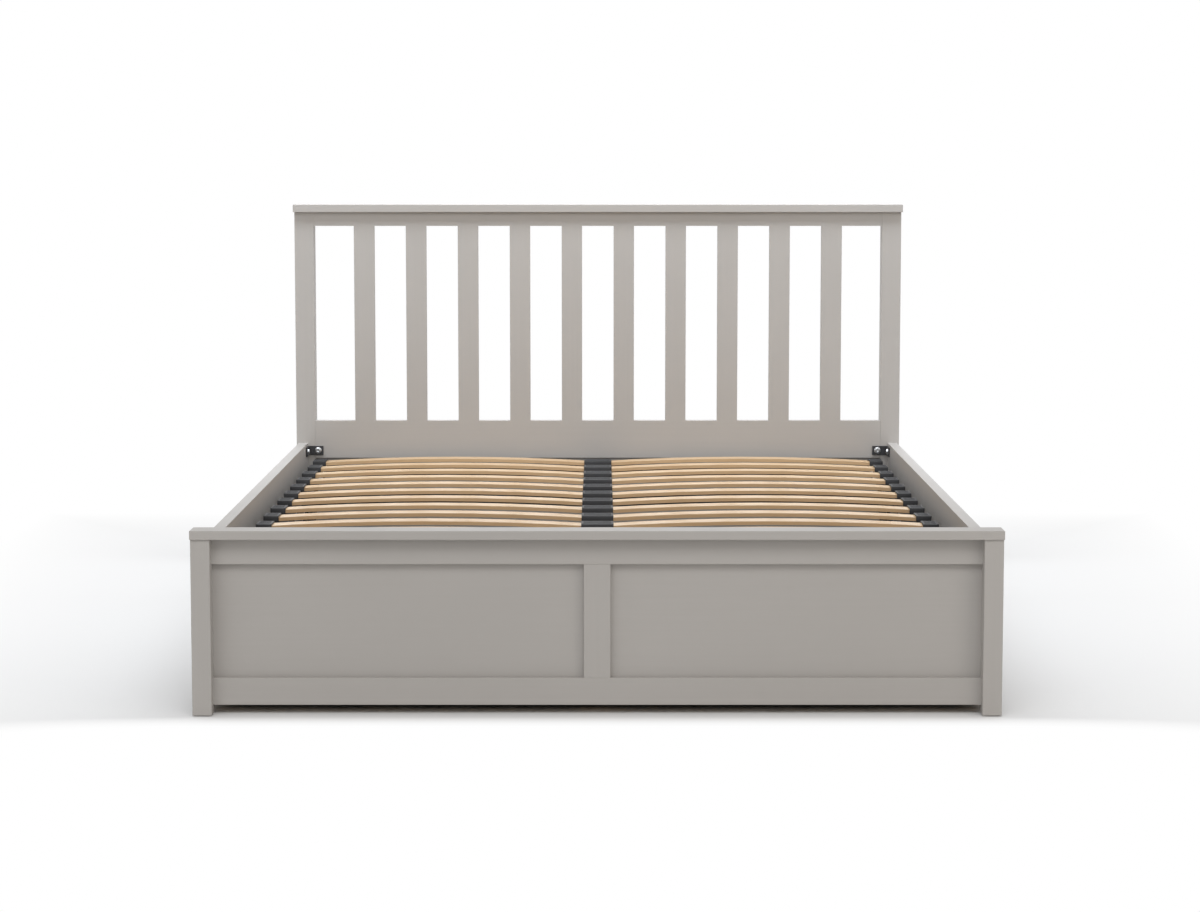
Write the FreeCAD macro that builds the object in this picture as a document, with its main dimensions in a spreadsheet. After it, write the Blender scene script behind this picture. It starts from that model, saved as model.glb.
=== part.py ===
import FreeCAD, Part
import Sketcher
import math
import os
import re
from FreeCAD import Vector

# Queen size gas lift bed. X runs across the bed, Y from the footboard to the headboard, Z up.
# The origin is on the floor under the middle of the bed. Lengths are millimetres, angles degrees.

SIZES = {
    # Overall frame
    "bed_width": 1620.0,            # over the outer faces of legs and posts
    "inner_length": 2045.0,         # back of the footboard to front of the headboard
    "board_depth": 50.0,            # legs and posts, front to back
    "glide_height": 2.0,
    "glide_size": 30.0,
    "arris": 0.8,                   # small bevel along the painted boards
    # Footboard
    "foot_height": 375.0,
    "foot_cap_thick": 18.0,
    "foot_cap_side": 1.0,
    "cap_overhang": 5.0,            # front and back of the footboard, back of the headboard
    "foot_leg_width": 38.6,
    "rail_recess": 25.0,            # footboard rails behind the fronts of the legs
    "foot_top_rail": 53.0,
    "stile_width": 53.5,
    # Headboard
    "head_height": 979.0,
    "head_cap_thick": 20.0,
    "head_cap_side": 2.7,
    "head_cap_front": 14.0,
    "head_post_width": 51.0,
    "head_rail_thick": 25.0,
    "head_top_rail": 37.0,
    "head_slat_width": 54.3,
    "head_slat_thick": 22.0,
    "head_slat_end_gap": 107.3,     # from each post to the nearest slat
    "head_slat_count": 10,
    "middle_rail_bottom": 300.0,
    "middle_rail": 100.0,
    "head_panel_recess": 8.0,
    # Lower rails and grooved panels, shared by both ends
    "lower_rail_bottom": 19.0,
    "lower_rail": 55.0,
    "panel_recess": 15.0,
    "panel_thick": 6.0,
    "groove_depth": 8.0,
    "groove_end_gap": 0.5,
    "groove_side_gap": 0.2,
    # Side rails
    "rail_setback": 5.0,
    "rail_thick": 25.0,
    "rail_top": 340.0,
    # Storage floor
    "ledge_size": 20.0,
    "ledge_bottom": 24.0,
    "floor_thick": 4.0,
    "floor_gap": 0.5,
    "floor_count": 3,
    "beam_width": 60.0,
    "foot_size": 40.0,
    "foot_count": 3,
    # Corner angles
    "angle_thick": 4.0,
    "angle_rail_leg": 60.0,
    "angle_end_leg": 42.0,
    "angle_height": 24.0,
    "angle_foot_rise": 4.0,         # upper angle above the lower edge of the footboard's top rail
    "angle_head_rise": 8.0,         # upper angle above the lower edge of the headboard's middle rail
    "angle_lift": 1.0,              # lower angle above the storage floor
    "bolt_head_radius": 7.5,        # over the corners of the hexagon, as for every hexagonal size
    "bolt_head_thick": 4.0,
    # Lift mechanism, layers from the side rail inwards
    "base_plate_thick": 4.0,
    "link_thick": 5.0,
    "moving_plate_thick": 4.0,
    "plane_gap": 0.5,
    "head_gap": 0.3,
    "pin_head_thick": 3.0,
    "pin_head_radius": 9.0,
    "pin_radius": 5.0,
    "pin_fit": 0.05,
    "open_clearance": 1.9,          # round the pin that closes the four-bar loop
    "spacer_radius": 8.0,
    "link_half_width": 15.0,
    "plate_margin": 24.0,
    "plate_corner": 10.0,
    "plate_floor_gap": 2.0,
    "screw_hole_radius": 3.2,
    "screw_inset": 13.0,
    "plate_shoulder": 40.0,
    # Pivots, measured from the front of the headboard towards the foot, and up from the floor
    "rear_base_back": 430.0,
    "rear_base_up": 205.0,
    "front_base_back": 649.0,
    "front_base_up": 70.0,
    "rear_plate_back": 137.0,
    "rear_plate_up": 233.0,
    "front_plate_back": 194.0,
    "front_plate_up": 170.0,
    "strut_base_back": 455.0,
    "strut_base_up": 65.0,
    "strut_plate_back": 164.0,
    "strut_plate_up": 222.0,
    # Gas struts
    "strut_radius": 11.0,
    "strut_side_gap": 1.5,
    "strut_wall": 1.5,
    "strut_guide": 16.0,
    "strut_base_land": 8.0,
    "rod_radius": 5.0,
    "rod_fit": 0.05,
    "rod_shown": 6.0,
    "piston_length": 10.0,
    "socket_radius": 9.0,
    "socket_thick": 14.0,
    "neck_width": 12.0,
    "neck_length": 17.0,            # from the socket's pivot to the tube or rod
    "stud_radius": 7.0,
    # Lifting platform
    "platform_bottom": 255.0,
    "platform_end_gap": 10.0,
    "tube_size": 30.0,
    "tube_wall": 1.5,
    "cap_thick": 2.0,
    "cap_plug": 12.0,
    "cap_plug_gap": 0.2,
    "cross_count": 2,
    # Sprung slats and their holders
    "slat_count": 14,
    "slat_width": 53.0,
    "slat_thick": 8.0,
    "slat_rise": 12.0,
    "slat_end_gap": 1.0,
    "slat_side_gap": 1.0,
    "first_slat": 36.0,
    "holder_length": 35.0,
    "holder_wall": 3.0,
    "holder_floor": 2.5,
    "pocket_height": 11.2,
    "holder_web": 8.0,
    # Mattress bar and pull strap at the foot of the platform
    "bar_thick": 10.0,
    "bar_span": 530.0,
    "bar_height": 53.0,
    "bar_bend": 25.0,               # inside radius
    "strap_width": 26.0,
    "strap_thick": 3.0,
    "strap_span": 150.0,
    "strap_height": 34.0,
    "strap_tab": 22.0,
    # Rest brackets under the platform
    "rest_width": 40.0,
    "rest_drop": 40.0,
    "rest_reach": 52.0,
    "rest_thick": 4.0,
    "pad_size": 26.0,
    "pad_thick": 5.0,
    "pad_gap": 0.3,
    "rest_foot_front": 195.0,       # from the footboard
    "rest_middle_back": 1060.0,     # from the headboard
}

document = FreeCAD.newDocument("GasLiftBed")
sheet = document.addObject("Spreadsheet::Sheet", "Sizes")
for row, (alias, number) in enumerate(SIZES.items(), start=1):
    sheet.set("A%d" % row, alias)
    sheet.set("B%d" % row, str(number))
    sheet.setAlias("B%d" % row, alias)
scratch = document.addObject("Spreadsheet::Sheet", "Scratch")
document.recompute()


def size(alias):
    """A driving dimension, read from the sheet."""
    return float(sheet.get(alias))


def ex(text):
    """An expression in which each name from the sheet is written out in full."""
    known = lambda found: "Sizes." + found.group() if found.group() in SIZES else found.group()
    return re.sub(r"[a-z_][a-z_0-9]*", known, text)


# Places that several pieces share, as expressions of the sheet's names
FOOT_BACK = "(-inner_length / 2)"
FOOT_FRONT = "(-inner_length / 2 - board_depth)"
HEAD_FRONT = "(inner_length / 2)"
FOOT_CAP_BOTTOM = "(foot_height - foot_cap_thick)"
FOOT_RAIL_BOTTOM = "(foot_height - foot_cap_thick - foot_top_rail)"
HEAD_CAP_BOTTOM = "(head_height - head_cap_thick)"
HEAD_RAIL_BOTTOM = "(head_height - head_cap_thick - head_top_rail)"
LOWER_RAIL_TOP = "(lower_rail_bottom + lower_rail)"
FLOOR_TOP = "(ledge_bottom + ledge_size + floor_thick)"
RAIL_INNER = "(bed_width / 2 - rail_setback - rail_thick)"
BASE_FACE = "(%s - base_plate_thick)" % RAIL_INNER
REAR_LINK_FACE = "(%s - plane_gap - link_thick)" % BASE_FACE
FRONT_LINK_OUTER = "(%s - 2 * head_gap - pin_head_thick)" % REAR_LINK_FACE
FRONT_LINK_FACE = "(%s - link_thick)" % FRONT_LINK_OUTER
PLATE_OUTER = "(%s - plane_gap)" % FRONT_LINK_FACE
PLATFORM_HALF = "(%s - moving_plate_thick)" % PLATE_OUTER
STRUT_MIDDLE = "(%s - strut_side_gap - strut_radius)" % PLATFORM_HALF
PLATFORM_FOOT = "(-inner_length / 2 + platform_end_gap)"
PLATFORM_LENGTH = "(inner_length - 2 * platform_end_gap)"
PLATFORM_TOP = "(platform_bottom + tube_size)"
STRUT_LENGTH = "sqrt((strut_base_back - strut_plate_back)^2 + (strut_plate_up - strut_base_up)^2)"
STRUT_ANGLE = "atan2(strut_plate_up - strut_base_up; strut_base_back - strut_plate_back)"

nodes = []
SIDES = (("left", -1), ("right", 1))


def keep(piece, label):
    """Gives a finished sub-part the label that names its file."""
    piece.Label = label
    nodes.append(piece)
    return piece


def side(sign, inner, width):
    """Lower X of a piece that lies from inner to inner + width on one side of the bed."""
    return inner if sign > 0 else "-(%s) - (%s)" % (inner, width)


def place(piece, x, y, z):
    for axis, text in zip("xyz", (x, y, z)):
        piece.setExpression("Placement.Base." + axis, ex(text))


def block(name, origin, extent):
    """A plain box: lower corner and size along X, Y and Z."""
    box = document.addObject("Part::Box", name)
    for prop, text in zip(("Length", "Width", "Height"), extent):
        box.setExpression(prop, ex(text))
    place(box, *origin)
    return box


def hexagon(name, radius, height):
    prism = document.addObject("Part::Prism", name)
    prism.Polygon = 6
    prism.setExpression("Circumradius", ex(radius))
    prism.setExpression("Height", ex(height))
    return prism


def group(label, pieces):
    """Several like pieces kept in one node."""
    compound = document.addObject("Part::Compound", label)
    compound.Links = pieces
    return keep(compound, label)


def plane(body, role):
    return [feature for feature in body.Origin.OriginFeatures if feature.Role == role][0]


def sketch_on(body, role, name):
    sketch = body.newObject("Sketcher::SketchObject", name)
    sketch.AttachmentSupport = [(plane(body, role), "")]
    sketch.MapMode = "FlatFace"
    return sketch


def value(text):
    """The present number of an expression, worked out in a cell of the scratch sheet."""
    scratch.set("A1", "=" + ex(text))
    scratch.recompute()
    return float(scratch.get("A1"))


def hold(sketch, kind, *where):
    """Adds a dimension whose last argument is an expression."""
    text = where[-1]
    number = sketch.addConstraint(Sketcher.Constraint(kind, *where[:-1], value(text)))
    sketch.setExpression("Constraints[%d]" % number, ex(text))


def outline(sketch, points):
    """A closed outline of straight lines through points given as pairs of expressions."""
    corners = [Vector(value(u), value(v), 0) for u, v in points]
    first = sketch.GeometryCount
    count = len(points)
    for index in range(count):
        sketch.addGeometry(Part.LineSegment(corners[index], corners[(index + 1) % count]), False)
    for index in range(count):
        following = first + (index + 1) % count
        sketch.addConstraint(Sketcher.Constraint("Coincident", first + index, 2, following, 1))
    for index, (u, v) in enumerate(points):
        hold(sketch, "DistanceX", -1, 1, first + index, 1, u)
        hold(sketch, "DistanceY", -1, 1, first + index, 1, v)


def circle(sketch, u, v, radius):
    middle = Vector(value(u), value(v), 0)
    number = sketch.addGeometry(Part.Circle(middle, Vector(0, 0, 1), value(radius)), False)
    hold(sketch, "DistanceX", -1, 1, number, 3, u)
    hold(sketch, "DistanceY", -1, 1, number, 3, v)
    hold(sketch, "Radius", number, radius)


def pad(body, sketch, length, name, backwards=False):
    feature = body.newObject("PartDesign::Pad", name)
    feature.Profile = sketch
    feature.setExpression("Length", ex(length))
    feature.Reversed = backwards
    return feature


def edges_along(solid, run, chosen=lambda middle: True):
    """Names of a solid's straight edges along x, y, z or all of them, whose middle is chosen."""
    document.recompute()
    names = []
    for index, edge in enumerate(solid.Shape.Edges, start=1):
        if edge.Curve.TypeId != "Part::GeomLine":
            continue
        heading = edge.Vertexes[1].Point - edge.Vertexes[0].Point
        reach = {"x": heading.x, "y": heading.y, "z": heading.z, "all": heading.Length}[run]
        if abs(reach) > heading.Length / 2 and chosen(edge.CenterOfMass):
            names.append("Edge%d" % index)
    return names


def rounding(body, solid, edges, radius, name):
    """Rounds the named edges of a solid."""
    fillet = body.newObject("PartDesign::Fillet", name)
    fillet.Base = (solid, edges)
    fillet.setExpression("Radius", ex(radius))
    return fillet


def rectangle(wide, deep):
    return [("0", "0"), (wide, "0"), (wide, deep), ("0", deep)]


def hollow(body, name, start, reach):
    """Cuts a box out of a body; start and reach are measured from the body's own corner."""
    cut = body.newObject("PartDesign::SubtractiveBox", name)
    cut.AttachmentSupport = [(plane(body, "XY_Plane"), "")]
    cut.MapMode = "FlatFace"
    for prop, text in zip(("Length", "Width", "Height"), reach):
        cut.setExpression(prop, ex(text))
    for axis, text in zip("xyz", start):
        cut.setExpression("AttachmentOffset.Base." + axis, ex(text))
    return cut


def board(label, origin, extent, run, grooves=()):
    """A painted board, bevelled along its run (x, y, z, all or None) and then grooved."""
    body = document.addObject("PartDesign::Body", label)
    sketch = sketch_on(body, "XY_Plane", label + "_outline")
    outline(sketch, rectangle(extent[0], extent[1]))
    solid = pad(body, sketch, extent[2], label + "_pad")
    if run:
        bevel = body.newObject("PartDesign::Chamfer", label + "_arris")
        bevel.Base = (solid, edges_along(solid, run))
        bevel.setExpression("Size", ex("arris"))
    for index, (start, reach) in enumerate(grooves):
        hollow(body, "%s_groove_%d" % (label, index), start, reach)
    place(body, *origin)
    return keep(body, label)


def spread(body, features, axis, step, count, name):
    """Repeats features along an axis of the body."""
    pattern = body.newObject("PartDesign::LinearPattern", name)
    pattern.Originals = features
    pattern.Direction = (plane(body, axis), [""])
    pattern.Mode = "Spacing"
    pattern.setExpression("Offset", ex(step))
    pattern.setExpression("Occurrences", ex(count))
    body.Tip = pattern
    return pattern


def turned(name, profile):
    """A body turned about its own Y axis, from pairs of radius and distance along the axis."""
    body = document.addObject("PartDesign::Body", name)
    sketch = sketch_on(body, "XY_Plane", name + "_profile")
    outline(sketch, profile)
    turn = body.newObject("PartDesign::Revolution", name + "_turn")
    turn.Profile = sketch
    turn.ReferenceAxis = (sketch, ["V_Axis"])
    turn.Angle = 360
    return body


# Footboard

GROOVE_WIDTH = "(panel_thick + 2 * groove_side_gap)"
GROOVE_FOOT = "(%s - glide_height - groove_depth)" % LOWER_RAIL_TOP
INSERT = "(groove_depth - groove_end_gap)"
FOOT_PANEL_LOCAL = "(panel_recess - groove_side_gap)"
OPENING_HEIGHT = "(%s - %s)" % (FOOT_RAIL_BOTTOM, LOWER_RAIL_TOP)
FOOT_CLEAR = "(bed_width - 2 * foot_leg_width)"
FOOT_RAIL_DEPTH = "(board_depth - rail_recess)"
FOOT_RAIL_FRONT = "(%s + rail_recess)" % FOOT_FRONT


def make_footboard():
    leg_height = "(%s - glide_height)" % FOOT_CAP_BOTTOM
    for name, sign in SIDES:
        inner = "(bed_width / 2 - foot_leg_width)"
        groove_x = "0" if sign > 0 else "foot_leg_width - groove_depth"
        groove = ((groove_x, "rail_recess + " + FOOT_PANEL_LOCAL, GROOVE_FOOT),
                  ("groove_depth", GROOVE_WIDTH, OPENING_HEIGHT + " + 2 * groove_depth"))
        board("footboard_leg_" + name, (side(sign, inner, "foot_leg_width"), FOOT_FRONT, "glide_height"),
              ("foot_leg_width", "board_depth", leg_height), "z", [groove])
    board("footboard_cap",
          ("-bed_width / 2 - foot_cap_side", FOOT_FRONT + " - cap_overhang", FOOT_CAP_BOTTOM),
          ("bed_width + 2 * foot_cap_side", "board_depth + 2 * cap_overhang", "foot_cap_thick"), "all")
    rail_groove = (FOOT_CLEAR, GROOVE_WIDTH, "groove_depth")
    board("footboard_top_rail", ("-%s / 2" % FOOT_CLEAR, FOOT_RAIL_FRONT, FOOT_RAIL_BOTTOM),
          (FOOT_CLEAR, FOOT_RAIL_DEPTH, "foot_top_rail"), "x",
          [(("0", FOOT_PANEL_LOCAL, "0"), rail_groove)])
    board("footboard_lower_rail", ("-%s / 2" % FOOT_CLEAR, FOOT_RAIL_FRONT, "lower_rail_bottom"),
          (FOOT_CLEAR, FOOT_RAIL_DEPTH, "lower_rail"), "x",
          [(("0", FOOT_PANEL_LOCAL, "lower_rail - groove_depth"), rail_groove)])
    stile_groove = ("groove_depth", GROOVE_WIDTH, OPENING_HEIGHT)
    board("footboard_stile", ("-stile_width / 2", FOOT_RAIL_FRONT, LOWER_RAIL_TOP),
          ("stile_width", FOOT_RAIL_DEPTH, OPENING_HEIGHT), "z",
          [(("0", FOOT_PANEL_LOCAL, "0"), stile_groove),
           (("stile_width - groove_depth", FOOT_PANEL_LOCAL, "0"), stile_groove)])
    panel_width = "(%s / 2 - stile_width / 2 + 2 * %s)" % (FOOT_CLEAR, INSERT)
    for name, sign in SIDES:
        start = side(sign, "(stile_width / 2 - %s)" % INSERT, panel_width)
        board("footboard_panel_" + name,
              (start, FOOT_RAIL_FRONT + " + panel_recess", "%s - %s" % (LOWER_RAIL_TOP, INSERT)),
              (panel_width, "panel_thick", "%s + 2 * %s" % (OPENING_HEIGHT, INSERT)), "x")


# Headboard

HEAD_CLEAR = "(bed_width - 2 * head_post_width)"
HEAD_PANEL_LOCAL = "(head_panel_recess - groove_side_gap)"
HEAD_OPENING = "(middle_rail_bottom - %s)" % LOWER_RAIL_TOP


def make_headboard():
    for name, sign in SIDES:
        inner = "(bed_width / 2 - head_post_width)"
        groove_x = "0" if sign > 0 else "head_post_width - groove_depth"
        groove = ((groove_x, HEAD_PANEL_LOCAL, GROOVE_FOOT),
                  ("groove_depth", GROOVE_WIDTH, HEAD_OPENING + " + 2 * groove_depth"))
        board("headboard_post_" + name, (side(sign, inner, "head_post_width"), HEAD_FRONT, "glide_height"),
              ("head_post_width", "board_depth", HEAD_CAP_BOTTOM + " - glide_height"), "z", [groove])
    board("headboard_cap",
          ("-bed_width / 2 - head_cap_side", HEAD_FRONT + " - head_cap_front", HEAD_CAP_BOTTOM),
          ("bed_width + 2 * head_cap_side", "board_depth + head_cap_front + cap_overhang", "head_cap_thick"),
          "all")
    left_end = "-%s / 2" % HEAD_CLEAR
    board("headboard_top_rail", (left_end, HEAD_FRONT, HEAD_RAIL_BOTTOM),
          (HEAD_CLEAR, "head_rail_thick", "head_top_rail"), None)
    rail_groove = (HEAD_CLEAR, GROOVE_WIDTH, "groove_depth")
    board("headboard_middle_rail", (left_end, HEAD_FRONT, "middle_rail_bottom"),
          (HEAD_CLEAR, "head_rail_thick", "middle_rail"), None,
          [(("0", HEAD_PANEL_LOCAL, "0"), rail_groove)])
    board("headboard_lower_rail", (left_end, HEAD_FRONT, "lower_rail_bottom"),
          (HEAD_CLEAR, "head_rail_thick", "lower_rail"), "x",
          [(("0", HEAD_PANEL_LOCAL, "lower_rail - groove_depth"), rail_groove)])
    board("headboard_panel",
          (left_end + " - " + INSERT, HEAD_FRONT + " + head_panel_recess", LOWER_RAIL_TOP + " - " + INSERT),
          ("%s + 2 * %s" % (HEAD_CLEAR, INSERT), "panel_thick", "%s + 2 * %s" % (HEAD_OPENING, INSERT)), "x")
    slat_foot = "(middle_rail_bottom + middle_rail)"
    slat_step = "((%s - 2 * head_slat_end_gap - head_slat_width) / (head_slat_count - 1))" % HEAD_CLEAR
    slats = board("headboard_slats", (left_end + " + head_slat_end_gap", HEAD_FRONT, slat_foot),
                  ("head_slat_width", "head_slat_thick", "%s - %s" % (HEAD_RAIL_BOTTOM, slat_foot)), "z")
    spread(slats, [slats.Group[1], slats.Group[2]], "X_Axis", slat_step, "head_slat_count",
           "headboard_slats_row")


# Side rails, storage floor and what carries it

def make_box():
    for name, sign in SIDES:
        board("side_rail_" + name, (side(sign, RAIL_INNER, "rail_thick"), FOOT_BACK, "lower_rail_bottom"),
              ("rail_thick", "inner_length", "rail_top - lower_rail_bottom"), "y")
    ledges = []
    for name, sign in SIDES:
        start = side(sign, RAIL_INNER + " - ledge_size", "ledge_size")
        ledges.append(block("ledge_" + name, (start, FOOT_BACK, "ledge_bottom"),
                            ("ledge_size", "inner_length", "ledge_size")))
    between = "(2 * (%s - ledge_size))" % RAIL_INNER
    for name, start in (("foot", FOOT_BACK), ("head", HEAD_FRONT + " - ledge_size")):
        ledges.append(block("ledge_" + name, ("-%s / 2" % between, start, "ledge_bottom"),
                            (between, "ledge_size", "ledge_size")))
    group("floor_ledges", ledges)
    keep(block("centre_beam", ("-beam_width / 2", FOOT_BACK + " + ledge_size", "ledge_bottom"),
               ("beam_width", "inner_length - 2 * ledge_size", "ledge_size")), "centre_beam")
    panel_length = "((inner_length - (floor_count + 1) * floor_gap) / floor_count)"
    panels = []
    for index in range(int(size("floor_count"))):
        start = "%s + floor_gap + %d * (%s + floor_gap)" % (FOOT_BACK, index, panel_length)
        panels.append(block("floor_panel_%d" % index,
                            ("-%s + floor_gap" % RAIL_INNER, start, "ledge_bottom + ledge_size"),
                            ("2 * (%s - floor_gap)" % RAIL_INNER, panel_length, "floor_thick")))
    group("storage_floor", panels)
    feet = []
    for index in range(int(size("foot_count"))):
        middle = "inner_length * (%d + 1) / (foot_count + 1) - inner_length / 2" % index
        feet.append(block("beam_foot_%d" % index, ("-foot_size / 2", middle + " - foot_size / 2", "0"),
                          ("foot_size", "foot_size", "ledge_bottom")))
    group("beam_feet", feet)
    glides = []
    for name, sign in SIDES:
        for end, width, front in (("foot", "foot_leg_width", FOOT_FRONT),
                                  ("head", "head_post_width", HEAD_FRONT)):
            glides.append(block("glide_%s_%s" % (end, name),
                                ("%d * (bed_width - %s) / 2 - glide_size / 2" % (sign, width),
                                 front + " + (board_depth - glide_size) / 2", "0"),
                                ("glide_size", "glide_size", "glide_height")))
    group("leg_glides", glides)


def make_angles():
    """Two steel angles in each inner corner, with a bolt head on each leg."""
    angles = []
    bolts = []
    lower = FLOOR_TOP + " + angle_lift"
    for name, sign in SIDES:
        for end, inward, upper in (("foot", 1, FOOT_RAIL_BOTTOM + " + angle_foot_rise"),
                                   ("head", -1, "middle_rail_bottom + angle_head_rise")):
            corner = FOOT_BACK if inward > 0 else HEAD_FRONT
            for level, bottom in enumerate((lower, upper)):
                tag = "%s_%s_%d" % (end, name, level)
                along = corner if inward > 0 else corner + " - angle_rail_leg"
                rail_leg = block("angle_rail_" + tag,
                                 (side(sign, RAIL_INNER + " - angle_thick", "angle_thick"), along, bottom),
                                 ("angle_thick", "angle_rail_leg", "angle_height"))
                across = corner if inward > 0 else corner + " - angle_thick"
                reach = side(sign, RAIL_INNER + " - angle_end_leg", "angle_end_leg")
                end_leg = block("angle_end_" + tag, (reach, across, bottom),
                                ("angle_end_leg", "angle_thick", "angle_height"))
                angle = document.addObject("Part::Fuse", "angle_" + tag)
                angle.Base = rail_leg
                angle.Tool = end_leg
                angles.append(angle)
                middle = bottom + " + angle_height / 2"
                rail_bolt = hexagon("bolt_rail_" + tag, "bolt_head_radius", "bolt_head_thick")
                end_bolt = hexagon("bolt_end_" + tag, "bolt_head_radius", "bolt_head_thick")
                bolts.extend((rail_bolt, end_bolt))
                rail_bolt.Placement.Rotation = FreeCAD.Rotation(Vector(0, 1, 0), 90)
                place(rail_bolt,
                      side(sign, RAIL_INNER + " - angle_thick - bolt_head_thick", "bolt_head_thick"),
                      "%s + %d * angle_rail_leg * 2 / 3" % (corner, inward), middle)
                end_bolt.Placement.Rotation = FreeCAD.Rotation(Vector(1, 0, 0), -90)
                seat = "angle_thick" if inward > 0 else "-angle_thick - bolt_head_thick"
                place(end_bolt, "%d * (%s - angle_end_leg * 2 / 3)" % (sign, RAIL_INNER),
                      "%s + %s" % (corner, seat), middle)
    group("corner_angles", angles)
    group("corner_bolts", bolts)


# Lift mechanism

def along(back):
    """Y of a point measured back from the front of the headboard."""
    return "(%s - %s)" % (HEAD_FRONT, back)


def steel_plate(label, x, points, holes, thick, rounded):
    """A flat plate in the plane of the side rail, with holes and rounded corners."""
    body = document.addObject("PartDesign::Body", label)
    sketch = sketch_on(body, "YZ_Plane", label + "_outline")
    outline(sketch, points)
    for u, v, radius in holes:
        circle(sketch, u, v, radius)
    solid = pad(body, sketch, thick, label + "_pad")
    rounding(body, solid, edges_along(solid, "x"), rounded, label + "_corners")
    place(body, x, "0", "0")
    return keep(body, label)


def link(label, x, start, finish, hole_start, hole_finish):
    """A flat link with round ends, from one pivot to the other."""
    length = "sqrt((%s - %s)^2 + (%s - %s)^2)" % (start[0], finish[0], finish[1], start[1])
    angle = "atan2(%s - %s; %s - %s)" % (finish[1], start[1], start[0], finish[0])
    body = document.addObject("PartDesign::Body", label)
    sketch = sketch_on(body, "YZ_Plane", label + "_outline")
    half = value("link_half_width")
    reach = value(length)
    quarter = math.pi / 2
    lower = sketch.addGeometry(Part.LineSegment(Vector(0, -half, 0), Vector(reach, -half, 0)), False)
    far = sketch.addGeometry(Part.ArcOfCircle(Part.Circle(Vector(reach, 0, 0), Vector(0, 0, 1), half),
                                              -quarter, quarter), False)
    upper = sketch.addGeometry(Part.LineSegment(Vector(reach, half, 0), Vector(0, half, 0)), False)
    near = sketch.addGeometry(Part.ArcOfCircle(Part.Circle(Vector(0, 0, 0), Vector(0, 0, 1), half),
                                               quarter, 3 * quarter), False)
    for first, first_end, second, second_end in ((lower, 2, far, 1), (far, 2, upper, 1),
                                                 (upper, 2, near, 1), (near, 2, lower, 1)):
        sketch.addConstraint(Sketcher.Constraint("Tangent", first, first_end, second, second_end))
    sketch.addConstraint(Sketcher.Constraint("Coincident", near, 3, -1, 1))
    sketch.addConstraint(Sketcher.Constraint("PointOnObject", far, 3, -1))
    hold(sketch, "DistanceX", -1, 1, far, 3, length)
    hold(sketch, "Radius", far, "link_half_width")
    circle(sketch, "0", "0", hole_start)
    circle(sketch, length, "0", hole_finish)
    pad(body, sketch, "link_thick", label + "_pad")
    body.setExpression("Placement", ex("placement(vector(%s; %s; %s); rotation(vector(1; 0; 0); %s))"
                                       % (x, along(start[0]), start[1], angle)))
    return keep(body, label)


def pin(name, sign, pivot, lengths):
    """A pin across the bed: each of its lengths is round or hexagonal, with a radius and two end faces."""
    pieces = []
    for index, (form, radius, low, high) in enumerate(lengths):
        tag = "%s_%d" % (name, index)
        reach = "((%s) - (%s))" % (high, low)
        if form == "hexagonal":
            piece = hexagon(tag, radius, reach)
        else:
            piece = document.addObject("Part::Cylinder", tag)
            piece.setExpression("Radius", ex(radius))
            piece.setExpression("Height", ex(reach))
        piece.Placement.Rotation = FreeCAD.Rotation(Vector(0, 1, 0), 90)
        place(piece, side(sign, low, reach), along(pivot[0]), pivot[1])
        pieces.append(piece)
    if len(pieces) == 1:
        return pieces[0]
    joined = document.addObject("Part::MultiFuse", name)
    joined.Shapes = pieces
    return joined


REAR_BASE = ("rear_base_back", "rear_base_up")
FRONT_BASE = ("front_base_back", "front_base_up")
REAR_PLATE = ("rear_plate_back", "rear_plate_up")
FRONT_PLATE = ("front_plate_back", "front_plate_up")
STRUT_BASE = ("strut_base_back", "strut_base_up")
STRUT_PLATE = ("strut_plate_back", "strut_plate_up")
FIT_HOLE = "pin_radius + pin_fit"


def make_base_plates():
    low = FLOOR_TOP + " + plate_floor_gap"
    front = along("front_base_back") + " - plate_margin"
    corner = along("rear_base_back") + " + plate_margin"
    points = [(front, low), (corner, low), (corner, "rear_base_up + plate_margin"),
              (along("rear_base_back") + " - plate_margin", "rear_base_up + plate_margin"),
              (front, "front_base_up + plate_margin")]
    holes = [(front + " + screw_inset", low + " + screw_inset", "screw_hole_radius"),
             (corner + " - screw_inset", low + " + screw_inset", "screw_hole_radius"),
             (corner + " - screw_inset", "rear_base_up - 2 * plate_margin", "screw_hole_radius")]
    for name, sign in SIDES:
        steel_plate("base_plate_" + name, side(sign, BASE_FACE, "base_plate_thick"), points, holes,
                    "base_plate_thick", "plate_corner")


def make_moving_plates():
    left = along("front_plate_back") + " - plate_margin"
    right = along("rear_plate_back") + " + plate_margin"
    points = [(left, "front_plate_up - plate_margin"),
              (along("front_plate_back") + " + plate_margin", "front_plate_up - plate_margin"),
              (right, "rear_plate_up - plate_margin"),
              (right, PLATFORM_TOP),
              (left + " - plate_shoulder", PLATFORM_TOP),
              (left + " - plate_shoulder", "platform_bottom - plate_corner")]
    for name, sign in SIDES:
        steel_plate("moving_plate_" + name, side(sign, PLATFORM_HALF, "moving_plate_thick"), points, [],
                    "moving_plate_thick", "plate_corner")


def make_links():
    for name, sign in SIDES:
        link("rear_link_" + name, side(sign, REAR_LINK_FACE, "link_thick"), REAR_BASE, REAR_PLATE,
             FIT_HOLE, "pin_radius + open_clearance")
        link("front_link_" + name, side(sign, FRONT_LINK_FACE, "link_thick"), FRONT_BASE, FRONT_PLATE,
             FIT_HOLE, FIT_HOLE)


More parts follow.
